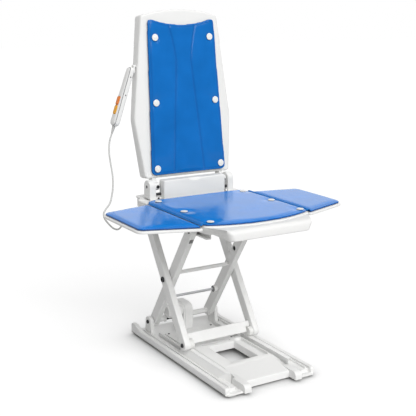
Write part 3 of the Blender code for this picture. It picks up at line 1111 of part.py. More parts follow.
def build_back():
    """The back shell with its ribs and hinge lugs, its pad with two sewn channels, and the pad's studs."""
    frame = BACK.matrix_world.copy()
    facing = Matrix(((1, 0, 0, 0), (0, 0, -1, 0), (0, 1, 0, 0), (0, 0, 0, 1)))
    low = BACK_BOTTOM_OFFSET
    top, bulge, foot = BACK_TOP_WIDTH / 2, BACK_BULGE_WIDTH / 2, BACK_BOTTOM_WIDTH / 2
    crest = arc((top, BACK_CORNER_LENGTH), (0, BACK_LENGTH), (-top, BACK_CORNER_LENGTH), 8)
    left = [(-top, BACK_CORNER_LENGTH, BACK_CORNER), (-bulge, BACK_BULGE_LENGTH, BACK_BULGE_CORNER),
            (-foot, 0, BACK_CORNER)]
    right = [(-x, y, radius) for x, y, radius in reversed(left)]
    outline = rounded([*left, *right, *[(x, y, 0) for x, y in crest]])
    deep = BACK_FRONT_OFFSET + BACK_THICKNESS / 2
    shell = part("back_shell", plate("back_shell", outline, BACK_THICKNESS), WHITE_PLASTIC, BACK,
                 frame @ Matrix.Translation((0, deep, low)) @ facing)
    soften(shell, BACK_ROUND, 2)
    r = BACK_LUG_RADIUS
    root_front = BACK_FRONT_OFFSET + BACK_LUG_ROOT_FRONT
    root_rear = BACK_FRONT_OFFSET + BACK_LUG_ROOT_REAR
    root_top = low + BACK_LUG_ROOT_HEIGHT
    lug_outline = rounded([(-r, -r, r * 0.98), (r, -r, r * 0.9), (root_rear, r / 2, 0),
                           (root_rear, root_top, 0), (root_front, root_top, 0), (root_front, r, 0),
                           (-r, r * 0.8, r / 2)], 5)
    lug_middle = BACK_LUG_INNER + BACK_LUG_WIDTH / 2
    for side, name in SIDES:
        lug, stand = upright_plate(lug_outline, side * lug_middle, BACK_LUG_WIDTH - RUNNING_GAP)
        shape(shell, "hinge_lug_" + name, lug, frame @ stand, "UNION")
    shape(shell, "pin_hole", rods("pin_hole", HINGE_PIN_RADIUS + GAP, ((-bulge, 0, 0), (bulge, 0, 0))), frame)
    cell_x = (BACK_POCKET_FIELD_WIDTH + RIB_WIDTH) / BACK_POCKETS_ACROSS
    cell_z = (BACK_POCKET_FIELD_LENGTH + RIB_WIDTH) / BACK_POCKETS_UP
    cells = []
    for x in (-BACK_POCKET_FIELD_WIDTH / 2 + index * cell_x for index in range(BACK_POCKETS_ACROSS)):
        for z in (low + BACK_POCKET_START + index * cell_z for index in range(BACK_POCKETS_UP)):
            far = (x + cell_x - RIB_WIDTH, BACK_FRONT_OFFSET + 2 * BACK_THICKNESS, z + cell_z - RIB_WIDTH)
            cells.append(((x, BACK_FRONT_OFFSET + BACK_SKIN, z), far))
    shape(shell, "rib_pockets", boxes("rib_pockets", *cells), frame)
    hook = hook_spot()
    across, thick = HOOK_WIDTH / 2 + GAP, HOOK_THICKNESS / 2 + GAP
    slot = ((-BACK_BULGE_WIDTH, hook.y - across, hook.z - thick),
            (hook_tip() + GAP, hook.y + across, hook.z + thick))
    shape(shell, "hook_slot", boxes("hook_slot", slot), frame)
    build_back_pad(shell, frame, facing)


def build_back_pad(shell, frame, facing):
    """The back pad with its two channels, and its studs."""
    low = BACK_BOTTOM_OFFSET
    wide, narrow = BACK_PAD_BOTTOM_WIDTH / 2, BACK_PAD_TOP_WIDTH / 2
    dip_half = narrow - BACK_PAD_BOTTOM_ROUND
    corner = BACK_PAD_CORNER
    dip = arc((dip_half, corner), (0, corner - BACK_PAD_DIP), (-dip_half, corner), 8)
    outline = rounded([(-narrow, corner, BACK_PAD_TOP_ROUND), (-wide, BACK_PAD_BOTTOM, BACK_PAD_BOTTOM_ROUND),
                       (wide, BACK_PAD_BOTTOM, BACK_PAD_BOTTOM_ROUND), (narrow, corner, BACK_PAD_TOP_ROUND),
                       (dip_half, corner, 0), *[(x, y, 0) for x, y in dip], (-dip_half, corner, 0)])
    place = frame @ Matrix.Translation((0, BACK_FRONT_OFFSET - GAP, low)) @ facing
    form = cushion("back_pad", outline, BACK_PAD_THICKNESS, PAD_CROWN, BACK_PAD_BORDER)
    pad = part("back_pad", form, PAD_VINYL, BACK, place)
    spots = [(side * x, BACK_FRONT_OFFSET, low + z) for x, z in BACK_STUDS for side in (-1, 1)]
    lines = [((x, y - 2 * BACK_PAD_THICKNESS, z), (x, y + STUD_BITE + GAP, z)) for x, y, z in spots]
    for piece in (shell, pad):
        holes = rods("stud_holes", STUD_SHANK_RADIUS + GAP, *lines, steps=SMALL_STEPS)
        shape(piece, "stud_holes", holes, frame)
    lift = BACK_PAD_THICKNESS + CHANNEL_RADIUS - CHANNEL_DEPTH
    for side, name in SIDES:
        route = [(side * CHANNEL_TOP_X, BACK_PAD_CORNER + CHANNEL_OVERRUN, lift),
                 (side * CHANNEL_WAIST_X, CHANNEL_WAIST_LENGTH, lift + PAD_CROWN),
                 (side * CHANNEL_BOTTOM_X, BACK_PAD_BOTTOM - CHANNEL_OVERRUN, lift)]
        groove = tube_mesh("channel", smooth_route(route, CHANNEL_STEP)[0], CHANNEL_RADIUS)
        shape(pad, "channel_" + name, groove, place)
    names = [f"back_stud_{row}_{name}" for row in ("top", "middle", "bottom") for _, name in SIDES]
    forward = Matrix.Rotation(math.pi / 2, 4, "X")
    for name, (x, y, z) in zip(names, spots):
        seat = frame @ Matrix.Translation((x, y - 2 * GAP - BACK_PAD_THICKNESS, z)) @ forward
        stud(name, BACK, seat, BACK_PAD_THICKNESS + GAP + STUD_BITE)


def tube_curve(name, route, radius):
    """A round tube along a route, with filled caps."""
    curve = bpy.data.curves.new(name, "CURVE")
    curve.dimensions = "3D"
    curve.bevel_depth = radius
    curve.bevel_resolution = 2
    curve.use_fill_caps = True
    spline = curve.splines.new("POLY")
    spline.points.add(len(route) - 1)
    for point, at in zip(spline.points, route):
        point.co = (*at, 1.0)
    return curve


def tube_mesh(name, route, radius):
    """The same tube as a welded mesh."""
    drawn = bpy.data.objects.new(name, tube_curve(name, route, radius))
    PARTS.objects.link(drawn)
    graph = bpy.context.evaluated_depsgraph_get()
    mesh = bpy.data.meshes.new_from_object(drawn.evaluated_get(graph))
    bpy.data.objects.remove(drawn, do_unlink=True)
    work = bmesh.new()
    work.from_mesh(mesh)
    bmesh.ops.remove_doubles(work, verts=work.verts, dist=TRUE_MERGE)
    bmesh.ops.recalc_face_normals(work, faces=work.faces)
    work.to_mesh(mesh)
    work.free()
    return mesh


def back_half_width(length):
    """Half the back's width at a length above its widest place."""
    rise = (length - BACK_BULGE_LENGTH) / (BACK_CORNER_LENGTH - BACK_BULGE_LENGTH)
    return (BACK_BULGE_WIDTH + (BACK_TOP_WIDTH - BACK_BULGE_WIDTH) * rise) / 2


def handset_frame():
    """The hand control's frame: X to the front, Y along it upwards, Z out of its key face."""
    c, s = math.cos(HANDSET_TILT), math.sin(HANDSET_TILT)
    edge = back_half_width(HANDSET_UP + HOOK_HEIGHT * c)
    beside = Vector((-edge - HANDSET_ASIDE, BACK_FRONT_OFFSET + HANDSET_BEHIND,
                     BACK_BOTTOM_OFFSET + HANDSET_UP))
    x, y, z = BACK.matrix_world @ beside
    return Matrix(((0, s, -c, x), (-1, 0, 0, y), (0, c, s, z), (0, 0, 0, 1)))


def hook_spot():
    """Where the hook turns into the back, in the back's frame."""
    return BACK.matrix_world.inverted() @ handset_frame() @ Vector((0, HOOK_HEIGHT, -HANDSET_DEPTH / 4))


def hook_tip():
    """How far the hook's tongue reaches into the back's side."""
    return HOOK_BITE - back_half_width(hook_spot().z - BACK_BOTTOM_OFFSET)


def round_key(name, grow, height):
    """The keys' rounded outline, grown on all sides, as a plate."""
    x, y, r = BUTTON_WIDTH / 2 + grow, BUTTON_LENGTH / 2 + grow, BUTTON_CORNER + grow
    return plate(name, rounded([(-x, y, r), (-x, -y, r), (x, -y, r), (x, y, r)], 3), height)


def build_handset():
    """The hand control: two casing halves, a hook into the back's side, two keys and a strain relief."""
    frame = handset_frame()
    top, foot, half = HANDSET_TOP_WIDTH / 2, HANDSET_WIDTH / 2, HANDSET_LENGTH / 2
    outline = rounded([(-top, half, HANDSET_CORNER), (-foot, -half, HANDSET_CORNER),
                       (foot, -half, HANDSET_CORNER), (top, half, HANDSET_CORNER)])
    halves = []
    for name, low, high in (("handset_rear", -GAP / 2, 1.0), ("handset_front", -1.0, GAP / 2)):
        casing = part(name, plate(name, outline, HANDSET_DEPTH), WHITE_PLASTIC, BACK, frame)
        soften(casing, HANDSET_ROUND, 2)
        shape(casing, "seam", boxes("seam", ((-1, -1, low), (1, 1, high))), frame)
        halves.append(casing)
    rear, front = halves
    wall = HANDSET_WALL
    hollow = ((-top + wall, -half + 4 * wall, -HANDSET_DEPTH / 2 + wall),
              (top - wall, half - 5 * wall, HANDSET_DEPTH))
    shape(rear, "battery_space", boxes("battery_space", hollow), frame)
    hook = hook_spot()
    across, thick = HOOK_WIDTH / 2, HOOK_THICKNESS / 2
    back = BACK.matrix_world.copy()
    tongue = ((hook.x - thick, hook.y - across, hook.z - thick),
              (hook_tip(), hook.y + across, hook.z + thick))
    shape(rear, "hook_tongue", boxes("hook_tongue", tongue), back, "UNION")
    riser_low = hook.z - (HOOK_HEIGHT - half + 4 * wall)
    riser = ((hook.x - thick - NIP, hook.y - across + NIP, riser_low),
             (hook.x + thick - NIP, hook.y + across - NIP, hook.z + thick - NIP))
    shape(rear, "hook_riser", boxes("hook_riser", riser), back, "UNION")

    middle_z = HANDSET_DEPTH / 2 + BUTTON_PROUD - BUTTON_HEIGHT / 2
    well_low = middle_z - BUTTON_HEIGHT / 2 - BUTTON_TRAVEL - GAP
    for name, look, step in (("up_button", ORANGE_KEY, 0.5), ("down_button", AMBER_KEY, -0.5)):
        y = BUTTON_MIDDLE + step * BUTTON_STEP
        place = frame @ Matrix.Translation((0, y, middle_z))
        soften(part(name, round_key(name, 0, BUTTON_HEIGHT), look, BACK, place), BUTTON_ROUND)
        well_middle = Matrix.Translation((0, y, well_low + HANDSET_DEPTH / 2))
        shape(front, name + "_well", round_key("well", GAP, HANDSET_DEPTH), frame @ well_middle)

    tip = CORD_RADIUS + NIP
    relief = [(0.0, RELIEF_LENGTH), (tip, RELIEF_LENGTH), (RELIEF_RADIUS, RELIEF_COLLAR), (RELIEF_RADIUS, 0.0),
              (0.0, 0.0)]
    start = frame @ Vector((0, -half - GAP, 0))
    end = frame @ Vector((0, -half - GAP - RELIEF_LENGTH, 0))
    turned("strain_relief", relief, GREY_NYLON, BACK, along(start, end), SMALL_STEPS)


def build_cord():
    """The free cord from the hand control's strain relief to the gland on the seat's left side."""
    frame = handset_frame()
    tip = HANDSET_LENGTH / 2 + RELIEF_LENGTH + 2 * GAP
    lead = 3 * CORD_RADIUS
    gland_x = -SEAT_BODY_HALF - GLAND_LENGTH - 2 * GAP
    route = [frame @ Vector((0, -tip, 0)), frame @ Vector((0, -tip - lead, 0)), *CORD_ROUTE,
             (gland_x - lead, GLAND_Y, GLAND_Z), (gland_x, GLAND_Y, GLAND_Z)]
    points, length = smooth_route(route, CORD_POINT_STEP)
    curve = tube_curve("handset_cord", points, CORD_RADIUS)
    curve.materials.append(CORD_GREY)
    cord = bpy.data.objects.new("handset_cord", curve)
    PARTS.objects.link(cord)
    hang(cord, Matrix.Identity(4), SEAT)
    print(f"cord length {length:.4f} m in {len(points)} points")


build_base()
build_drive()
build_inner_arms()
build_outer_arms()
build_seat()
build_flaps()
build_back()
build_handset()
build_cord()
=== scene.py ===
import math

import bmesh
import bpy
from mathutils import Matrix, Vector


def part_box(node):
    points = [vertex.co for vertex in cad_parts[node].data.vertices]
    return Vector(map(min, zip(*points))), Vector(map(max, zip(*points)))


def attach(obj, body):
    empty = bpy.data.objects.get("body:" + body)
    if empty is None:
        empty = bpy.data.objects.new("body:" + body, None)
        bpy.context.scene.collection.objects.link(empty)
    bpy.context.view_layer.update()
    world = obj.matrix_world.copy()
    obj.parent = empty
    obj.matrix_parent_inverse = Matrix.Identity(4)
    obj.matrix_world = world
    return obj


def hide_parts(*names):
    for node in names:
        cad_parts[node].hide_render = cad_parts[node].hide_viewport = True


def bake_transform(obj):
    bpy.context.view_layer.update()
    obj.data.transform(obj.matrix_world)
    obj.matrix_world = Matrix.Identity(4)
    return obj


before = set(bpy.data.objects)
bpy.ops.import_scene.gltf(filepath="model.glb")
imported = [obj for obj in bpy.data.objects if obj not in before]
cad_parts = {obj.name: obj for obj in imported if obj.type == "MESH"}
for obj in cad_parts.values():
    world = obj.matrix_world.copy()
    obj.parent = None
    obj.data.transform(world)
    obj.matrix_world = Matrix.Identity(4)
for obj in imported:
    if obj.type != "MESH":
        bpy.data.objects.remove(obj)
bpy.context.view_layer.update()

scene = bpy.context.scene
scene.view_settings.view_transform = "Standard"


# Studio: a pale seamless floor under a soft key light from the upper front,
# and the camera at the photograph's place, about 31 degrees left of the front.
CAMERA_AT = Vector((-1.350, -2.149, 1.044))
CAMERA_AIM = Vector((0.115, 0.253, 0.400))
CAMERA_ROLL = math.radians(0.14)
CAMERA_LENS = 75.75
FLOOR_SIZE = 40.0
FLOOR_WHITE = (0.45, 0.45, 0.45, 1.0)
FLOOR_BOUNCE = (0.70, 0.70, 0.70, 1.0)
FLOOR_LIFT = 0.66
# Reach and strength of the painted contact shade that ambient occlusion puts into the floor's glow.
CONTACT_SHADE_REACH = 0.16
CONTACT_SHADE_DEPTH = 1.8
SKY_LEVEL = 0.37
MIRRORED_TURN = 0.35
MIRRORED_FRONT = 0.25
MIRRORED_REAR = 1.2
KEY_FROM = Vector((-0.02, -0.75, 0.66))
KEY_LEVEL = 2.44
KEY_SOFTNESS = math.radians(55.0)


def add(tree, kind, links=(), **values):
    """A node with its settings; links pair an input's name or number with an output or a value."""
    node = tree.nodes.new(kind)
    for label, value in values.items():
        setattr(node, label, value)
    for target, source in links:
        if hasattr(source, "is_output"):
            tree.links.new(source, node.inputs[target])
        else:
            node.inputs[target].default_value = source
    return node


def reckon(tree, operation, *values):
    """The result of a sum on outputs or numbers."""
    return add(tree, "ShaderNodeMath", enumerate(values), operation=operation).outputs[0]


def remap(tree, value, from_low, from_high, to_low=0.0, to_high=1.0):
    """A value carried from one range into another."""
    return add(tree, "ShaderNodeMapRange", [("Value", value), ("From Min", from_low), ("From Max", from_high),
                                            ("To Min", to_low), ("To Max", to_high)]).outputs[0]


view = bpy.data.cameras.new("studio_camera")
view.lens = CAMERA_LENS
view.sensor_width = 36.0
camera = bpy.data.objects.new("studio_camera", view)
scene.collection.objects.link(camera)
camera.rotation_mode = "QUATERNION"
camera.location = CAMERA_AT
turn_to_aim = (CAMERA_AIM - CAMERA_AT).to_track_quat("-Z", "Y")
camera.rotation_quaternion = turn_to_aim @ Matrix.Rotation(CAMERA_ROLL, 3, "Z").to_quaternion()
scene.camera = camera

key = bpy.data.lights.new("key_light", "SUN")
key.energy = KEY_LEVEL
key.angle = KEY_SOFTNESS
key_lamp = bpy.data.objects.new("key_light", key)
scene.collection.objects.link(key_lamp)
key_lamp.rotation_mode = "QUATERNION"
key_lamp.rotation_quaternion = KEY_FROM.to_track_quat("Z", "Y")

sky = bpy.data.worlds.new("studio_sky")
scene.world = sky
sky.use_nodes = True
sky_tree = sky.node_tree
seen_by = add(sky_tree, "ShaderNodeLightPath")
seen_directly = reckon(sky_tree, "MAXIMUM", seen_by.outputs["Is Camera Ray"],
                       seen_by.outputs["Is Transmission Ray"])
heading = add(sky_tree, "ShaderNodeTexCoord")
heading_parts = add(sky_tree, "ShaderNodeSeparateXYZ", [(0, heading.outputs["Generated"])])
mirrored = remap(sky_tree, heading_parts.outputs["Y"], -MIRRORED_TURN, MIRRORED_TURN, MIRRORED_FRONT,
                 MIRRORED_REAR)
lit_or_mirrored = add(sky_tree, "ShaderNodeMix", [(0, seen_by.outputs["Is Glossy Ray"]), (2, SKY_LEVEL),
                                                  (3, mirrored)])
backdrop = sky_tree.nodes["Background"]
backdrop.inputs["Color"].default_value = (1.0, 1.0, 1.0, 1.0)
sky_strength = reckon(sky_tree, "MAXIMUM", seen_directly, lit_or_mirrored.outputs[0])
sky_tree.links.new(sky_strength, backdrop.inputs["Strength"])

floor_mesh = bpy.data.meshes.new("studio_floor")
reach = FLOOR_SIZE / 2
floor_mesh.from_pydata([(-reach, -reach, 0), (reach, -reach, 0), (reach, reach, 0), (-reach, reach, 0)], [],
                       [(0, 1, 2, 3)])
floor = bpy.data.objects.new("studio_floor", floor_mesh)
scene.collection.objects.link(floor)
floor_paint = bpy.data.materials.new("studio_floor_paint")
floor_paint.use_nodes = True
floor_tree = floor_paint.node_tree
paint = floor_tree.nodes["Principled BSDF"]
paint.inputs["Roughness"].default_value = 0.9
paint.inputs["Specular IOR Level"].default_value = 0.0
floor_seen = add(floor_tree, "ShaderNodeLightPath").outputs["Is Camera Ray"]
floor_tone = add(floor_tree, "ShaderNodeMix", [(0, floor_seen), (6, FLOOR_BOUNCE), (7, FLOOR_WHITE)],
                 data_type="RGBA")
floor_tree.links.new(floor_tone.outputs[2], paint.inputs["Base Color"])
# Painted contact shade: ambient occlusion dims the floor's glow near the chair, darker under and round the
# base.
openness = add(floor_tree, "ShaderNodeAmbientOcclusion", [("Distance", CONTACT_SHADE_REACH)])
deepened = reckon(floor_tree, "POWER", openness.outputs["AO"], CONTACT_SHADE_DEPTH)
open_and_seen = reckon(floor_tree, "MULTIPLY", floor_seen, deepened)
glow_level = reckon(floor_tree, "MULTIPLY", open_and_seen, FLOOR_LIFT)
glow = add(floor_tree, "ShaderNodeEmission", [("Strength", glow_level)])
both = add(floor_tree, "ShaderNodeAddShader", [(0, paint.outputs[0]), (1, glow.outputs[0])])
floor_tree.links.new(both.outputs[0], floor_tree.nodes["Material Output"].inputs["Surface"])
floor_mesh.materials.append(floor_paint)


# Cord of the hand control: light grey PVC sheath, about 5 mm thick, which hangs from the hand
# control's strain relief, dips below the left flap and ends in the gland on the seat's side.
CORD_DIAMETER = 0.0052
CORD_STEP = 0.004
CORD_START = Vector((-0.233389, 0.238016, 0.675680))
CORD_LEAD = Vector((-0.235967, 0.238016, 0.668319))
CORD_KNOTS = (
    (-0.2420, 0.2350, 0.6560), (-0.2480, 0.2290, 0.6370), (-0.2530, 0.2180, 0.6140),
    (-0.2565, 0.2020, 0.5880), (-0.2600, 0.1840, 0.5600), (-0.2660, 0.1690, 0.5320),
    (-0.2745, 0.1590, 0.5050), (-0.2860, 0.1500, 0.4820), (-0.3010, 0.1430, 0.4690),
    (-0.3120, 0.1390, 0.4560), (-0.3100, 0.1370, 0.4400), (-0.2980, 0.1360, 0.4230),
    (-0.2840, 0.1355, 0.4085), (-0.2690, 0.1355, 0.4030), (-0.2560, 0.1360, 0.4120),
    (-0.2440, 0.1365, 0.4270), (-0.2290, 0.1370, 0.4400), (-0.2120, 0.1370, 0.4470),
    (-0.1749, 0.1370, 0.448754),
)
CORD_END = Vector((-0.1671, 0.1370, 0.448754))
CORD_GREY = (0.56, 0.56, 0.55, 1.0)


def smooth_route(points, step):
    """Points along a smooth curve through the given points, about one step apart."""
    knots = [Vector(point) for point in points]
    padded = [2 * knots[0] - knots[1], *knots, 2 * knots[-1] - knots[-2]]
    route = []
    for before, start, end, after in zip(padded, padded[1:], padded[2:], padded[3:]):
        count = max(2, round((end - start).length / step))
        for share in (index / count for index in range(count)):
            bend = (2 * before - 5 * start + 4 * end - after) * share ** 2
            twist = (3 * start - 3 * end + after - before) * share ** 3
            route.append((2 * start + (end - before) * share + bend + twist) / 2)
    return [*route, knots[-1]]


def node_group(name, inputs, outputs):
    """A shader node group with its inputs and their values, its input node and its output node."""
    group = bpy.data.node_groups.new(name, "ShaderNodeTree")
    for label, value in inputs.items():
        kind = "NodeSocketFloat" if isinstance(value, float) else "NodeSocketColor"
        group.interface.new_socket(label, in_out="INPUT", socket_type=kind).default_value = value
    for label in outputs:
        kind = "NodeSocketColor" if label == "Color" else "NodeSocketFloat"
        group.interface.new_socket(label, in_out="OUTPUT", socket_type=kind)
    return group, group.nodes.new("NodeGroupInput").outputs, group.nodes.new("NodeGroupOutput").inputs


def noise(tree, place, scale, detail):
    """The strength of a noise over a place."""
    links = [("Vector", place), ("Scale", scale), ("Detail", detail)]
    return add(tree, "ShaderNodeTexNoise", links).outputs["Fac"]


def make_moulded_grain():
    """Slow changes of shade and gloss and the fine spark-eroded grain of a moulded surface."""
    group, given, made = node_group(
        "moulded_grain",
        {"Color": (0.8, 0.8, 0.8, 1.0), "Shade Spread": 0.04, "Roughness": 0.4, "Gloss Spread": 0.1,
         "Patch Size": 9.0, "Grain Size": 1400.0},
        ("Color", "Roughness", "Height"))
    place = add(group, "ShaderNodeTexCoord").outputs["Object"]
    centred = reckon(group, "SUBTRACT", noise(group, place, given["Patch Size"], 4.0), 0.5)
    shade = reckon(group, "ADD", reckon(group, "MULTIPLY", centred, given["Shade Spread"]), 1.0)
    tint = add(group, "ShaderNodeVectorMath", [(0, given["Color"])], operation="SCALE")
    group.links.new(shade, tint.inputs["Scale"])
    gloss = reckon(group, "MULTIPLY_ADD", centred, given["Gloss Spread"], given["Roughness"])
    group.links.new(tint.outputs[0], made["Color"])
    group.links.new(gloss, made["Roughness"])
    group.links.new(noise(group, place, given["Grain Size"], 3.0), made["Height"])
    return group


def make_edge_rub():
    """A mask along convex edges, broken up by noise, where handling polishes or scuffs them."""
    group, given, made = node_group("edge_rub", {"Amount": 0.5, "Break Size": 60.0}, ("Mask",))
    place = add(group, "ShaderNodeTexCoord").outputs["Object"]
    edge = remap(group, add(group, "ShaderNodeNewGeometry").outputs["Pointiness"], 0.52, 0.62)
    gated = remap(group, noise(group, place, given["Break Size"], 5.0), 0.42, 0.62)
    worn = reckon(group, "MULTIPLY", edge, gated)
    group.links.new(reckon(group, "MULTIPLY", worn, given["Amount"]), made["Mask"])
    return group


moulded_grain = make_moulded_grain()
edge_rub = make_edge_rub()


def surface(name, colour, roughness, shade=0.04, gloss=0.1, patch=9.0, grain=1400.0, depth=0.00006,
            metallic=0.0, rub=None, rub_amount=0.5):
    """A material of one colour with moulded grain, and a rubbed colour along its edges where given."""
    made = bpy.data.materials.new(name)
    made.use_nodes = True
    tree = made.node_tree
    shell = tree.nodes["Principled BSDF"]
    shell.inputs["Metallic"].default_value = metallic
    skin = add(tree, "ShaderNodeGroup",
               [("Color", colour), ("Shade Spread", shade), ("Roughness", roughness), ("Gloss Spread", gloss),
                ("Patch Size", patch), ("Grain Size", grain)], node_tree=moulded_grain)
    tone = skin.outputs["Color"]
    if rub is not None:
        worn = add(tree, "ShaderNodeGroup", [("Amount", rub_amount)], node_tree=edge_rub)
        mixed = add(tree, "ShaderNodeMix", [(0, worn.outputs["Mask"]), (6, tone), (7, rub)], data_type="RGBA")
        tone = mixed.outputs[2]
    relief = add(tree, "ShaderNodeBump", [("Height", skin.outputs["Height"]), ("Strength", 1.0),
                                          ("Distance", depth)])
    tree.links.new(tone, shell.inputs["Base Color"])
    tree.links.new(skin.outputs["Roughness"], shell.inputs["Roughness"])
    tree.links.new(relief.outputs["Normal"], shell.inputs["Normal"])
    return made


def dress(node, look):
    """A CAD node that stays as it is, in a better finish."""
    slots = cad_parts[node].data.materials
    slots.clear()
    slots.append(look)


cord_sheath = surface("cord_sheath_pvc", CORD_GREY, 0.42, shade=0.06, grain=900.0, depth=0.00003)
cord_line = bpy.data.curves.new("hand_control_cord", "CURVE")
cord_line.dimensions = "3D"
cord_line.bevel_depth = CORD_DIAMETER / 2
cord_line.bevel_resolution = 5
cord_line.use_fill_caps = True
cord_route = smooth_route([CORD_START, CORD_LEAD, *CORD_KNOTS, CORD_END], CORD_STEP)
cord_spline = cord_line.splines.new("POLY")
cord_spline.points.add(len(cord_route) - 1)
for point, at in zip(cord_spline.points, cord_route):
    point.co = (*at, 1.0)
cord_line.materials.append(cord_sheath)
cord = bpy.data.objects.new("hand_control_cord", cord_line)
scene.collection.objects.link(cord)
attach(cord, "seat")
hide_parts("handset_cord")


# Base: one white moulded tray with walls, rails and a platform, a floor cover clipped in behind
# it, small dark screws that hold the cover down, and soft grey cups under the corners.
WHITE = (0.84, 0.84, 0.83, 1.0)
RUBBED_WHITE = (0.90, 0.90, 0.89, 1.0)
CUP_GREY = (0.60, 0.60, 0.59, 1.0)
STEEL_BLACK = (0.028, 0.028, 0.030, 1.0)
BASE_HALF = 0.153
BASE_REAR = 0.295
BASE_LOW = 0.006
FLOOR_TOP = 0.012
FLOOR_ROOT = 0.0084
WALL_WIDTH = 0.0135
WALL_TOP = 0.028
WALL_FRONT_Y = -0.281
WALL_EDGE = 0.0028
HUMP_LENGTH = 0.062
HUMP_TOP = 0.040
HUMP_SLOPE = 0.034
SIDE_BLOCKS = ((0.1125, 0.1402, -0.270, 0.200, 0.0215, 0.0010),
               (0.1290, 0.1345, -0.267, 0.260, 0.0272, 0.0019),
               (0.0993, 0.1063, 0.0148, 0.192, 0.0295, 0.0015))
RAIL_SECTION = ((0.0984, 0.0080), (0.1280, 0.0080), (0.1280, 0.0210), (0.1142, 0.0395), (0.1132, 0.0408),
                (0.1132, 0.0427), (0.1124, 0.0435), (0.0992, 0.0435), (0.0984, 0.0427))
RAIL_INNER_X = 0.0984
RAIL_EDGE_X = 0.1142
RAIL_FRONT_Y = -0.2254
RAIL_REAR_Y = 0.0268
LUG_INNER_X = 0.0755
FRONT_LUG_WIDTH = 0.023
FRONT_LUG_REAR_Y = -0.227
FRONT_LUG_TOP = 0.031
FRONT_LUG_EDGE = 0.0015
POST_INNER_X = 0.1135
POST_WIDTH = 0.013
POST_RADIUS = 0.017
POST_EDGE = 0.0018
AXLE_Y = 0.226
AXLE_Z = 0.0585
AXLE_HOLE_RADIUS = 0.0063
PLATFORM_HALF = 0.089
PLATFORM_FRONT_Y = -0.173
PLATFORM_REAR_Y = 0.020
PLATFORM_TOP = 0.038
WINDOW_HALF = 0.047
WINDOW_FRONT_Y = -0.147
WINDOW_REAR_Y = -0.016
WINDOW_HOLLOW = ((-0.078, -0.152, -0.010), (0.078, 0.012, 0.0160))
PLATFORM_SLOT = ((-0.058, -0.001, -0.010), (0.046, 0.011, 0.060))
PLATFORM_DISH = ((0.0590, -0.152, 0.0290), (0.0830, 0.004, 0.060))
APRON_HALF = 0.0885
APRON_SECTION = ((-0.263, 0.0055, 0.001), (-0.161, 0.0055, 0), (-0.161, 0.0374, 0), (-0.170, 0.0374, 0.010),
                 (-0.263, 0.0265, 0.004))
FLOOR_FRONT_Y = -0.286
FLOOR_NOTCH = (0.0765, -0.258)
COVER_SCREW_INSET = 0.009
COVER_SCREW_RADIUS = 0.0034
COVER_SCREW_HEIGHT = 0.0012
SHARP_ANGLE = math.radians(38.0)
SHORTEST_EDGE = 0.000004
SIDES = ((-1, "left"), (1, "right"))
sideways = Vector((1, 0, 0))
upwards = Vector((0, 0, 1))

white_plastic = surface("white_moulded_plastic", WHITE, 0.40, shade=0.03, rub=RUBBED_WHITE)
cup_rubber = surface("grey_cup_rubber", CUP_GREY, 0.65, shade=0.1, grain=700.0, depth=0.0001)
dark_steel = surface("dark_bolt_steel", STEEL_BLACK, 0.36, metallic=0.85, gloss=0.2, grain=2200.0,
                     rub=(0.16, 0.16, 0.17, 1.0), rub_amount=0.7)


def along(start, way):
    """A place at a start point with its Z axis along a way."""
    return Matrix.Translation(start) @ way.to_track_quat("Z", "Y").to_matrix().to_4x4()


def placed(work, place):
    """The working mesh moved to its place."""
    bmesh.ops.transform(work, matrix=place, verts=work.verts)
    return work


def bridge(work, lower, upper):
    """Faces between two rings of points, of which one may be a single point."""
    count = max(len(lower), len(upper))
    for index in range(count):
        after = (index + 1) % count
        if len(lower) == 1:
            work.faces.new((lower[0], upper[after], upper[index]))
        elif len(upper) == 1:
            work.faces.new((lower[index], lower[after], upper[0]))
        else:
            work.faces.new((lower[index], lower[after], upper[after], upper[index]))


def lathe(profile, steps=32):
    """A turned form from radius and height pairs, or a ring where they do not start on the axis."""
    work = bmesh.new()
    rings = []
    for radius, height in profile:
        turns = [math.tau * index / steps for index in range(steps if radius else 1)]
        ring = [(radius * math.cos(turn), radius * math.sin(turn), height) for turn in turns]
        rings.append([work.verts.new(point) for point in ring])
    around = rings if len(rings[0]) == 1 else [*rings, rings[0]]
    for lower, upper in zip(around, around[1:]):
        bridge(work, lower, upper)
    return work


def stacked(loops):
    """A closed form through loops of points, with a flat face at each end."""
    work = bmesh.new()
    rings = [[work.verts.new(point) for point in loop] for loop in loops]
    for lower, upper in zip(rings, rings[1:]):
        bridge(work, lower, upper)
    work.faces.new(list(reversed(rings[0])))
    work.faces.new(rings[-1])
    return work


def bar(radius, length, chamfer=0.0006, steps=32):
    """A round bar with broken edges, from its lower end up."""
    return lathe([(0.0, 0.0), (radius - chamfer, 0.0), (radius, chamfer), (radius, length - chamfer),
                  (radius - chamfer, length), (0.0, length)], steps)


def socket_head(radius, height, across, depth, shank, shank_radius):
    """A bolt head with a rounded rim and a six-sided socket, on a shank where one is given."""
    stem = [(0.0, -shank), (shank_radius, -shank), (shank_radius, 0.0)] if shank else [(0.0, 0.0)]
    head = [(radius, 0.0), (radius, height * 0.55), (radius * 0.95, height * 0.86), (radius * 0.86, height),
            (across, height), (across * 0.98, height - depth), (0.0, height - depth)]
    work = lathe([*stem, *head], 36)
    for vert in work.verts:
        reach = vert.co.xy.length
        if vert.co.z >= height - depth - 1e-6 and 0.0 < reach < across * 1.01:
            turn = math.atan2(vert.co.y, vert.co.x) % (math.pi / 3) - math.pi / 6
            side = math.cos(math.pi / 6) / math.cos(turn)
            vert.co.x *= side
            vert.co.y *= side
    return work


def object_from(work, name):
    """The working mesh as an object in the scene, with all its faces turned outwards."""
    bmesh.ops.recalc_face_normals(work, faces=work.faces)
    mesh = bpy.data.meshes.new(name)
    work.to_mesh(mesh)
    work.free()
    made = bpy.data.objects.new(name, mesh)
    scene.collection.objects.link(made)
    return made


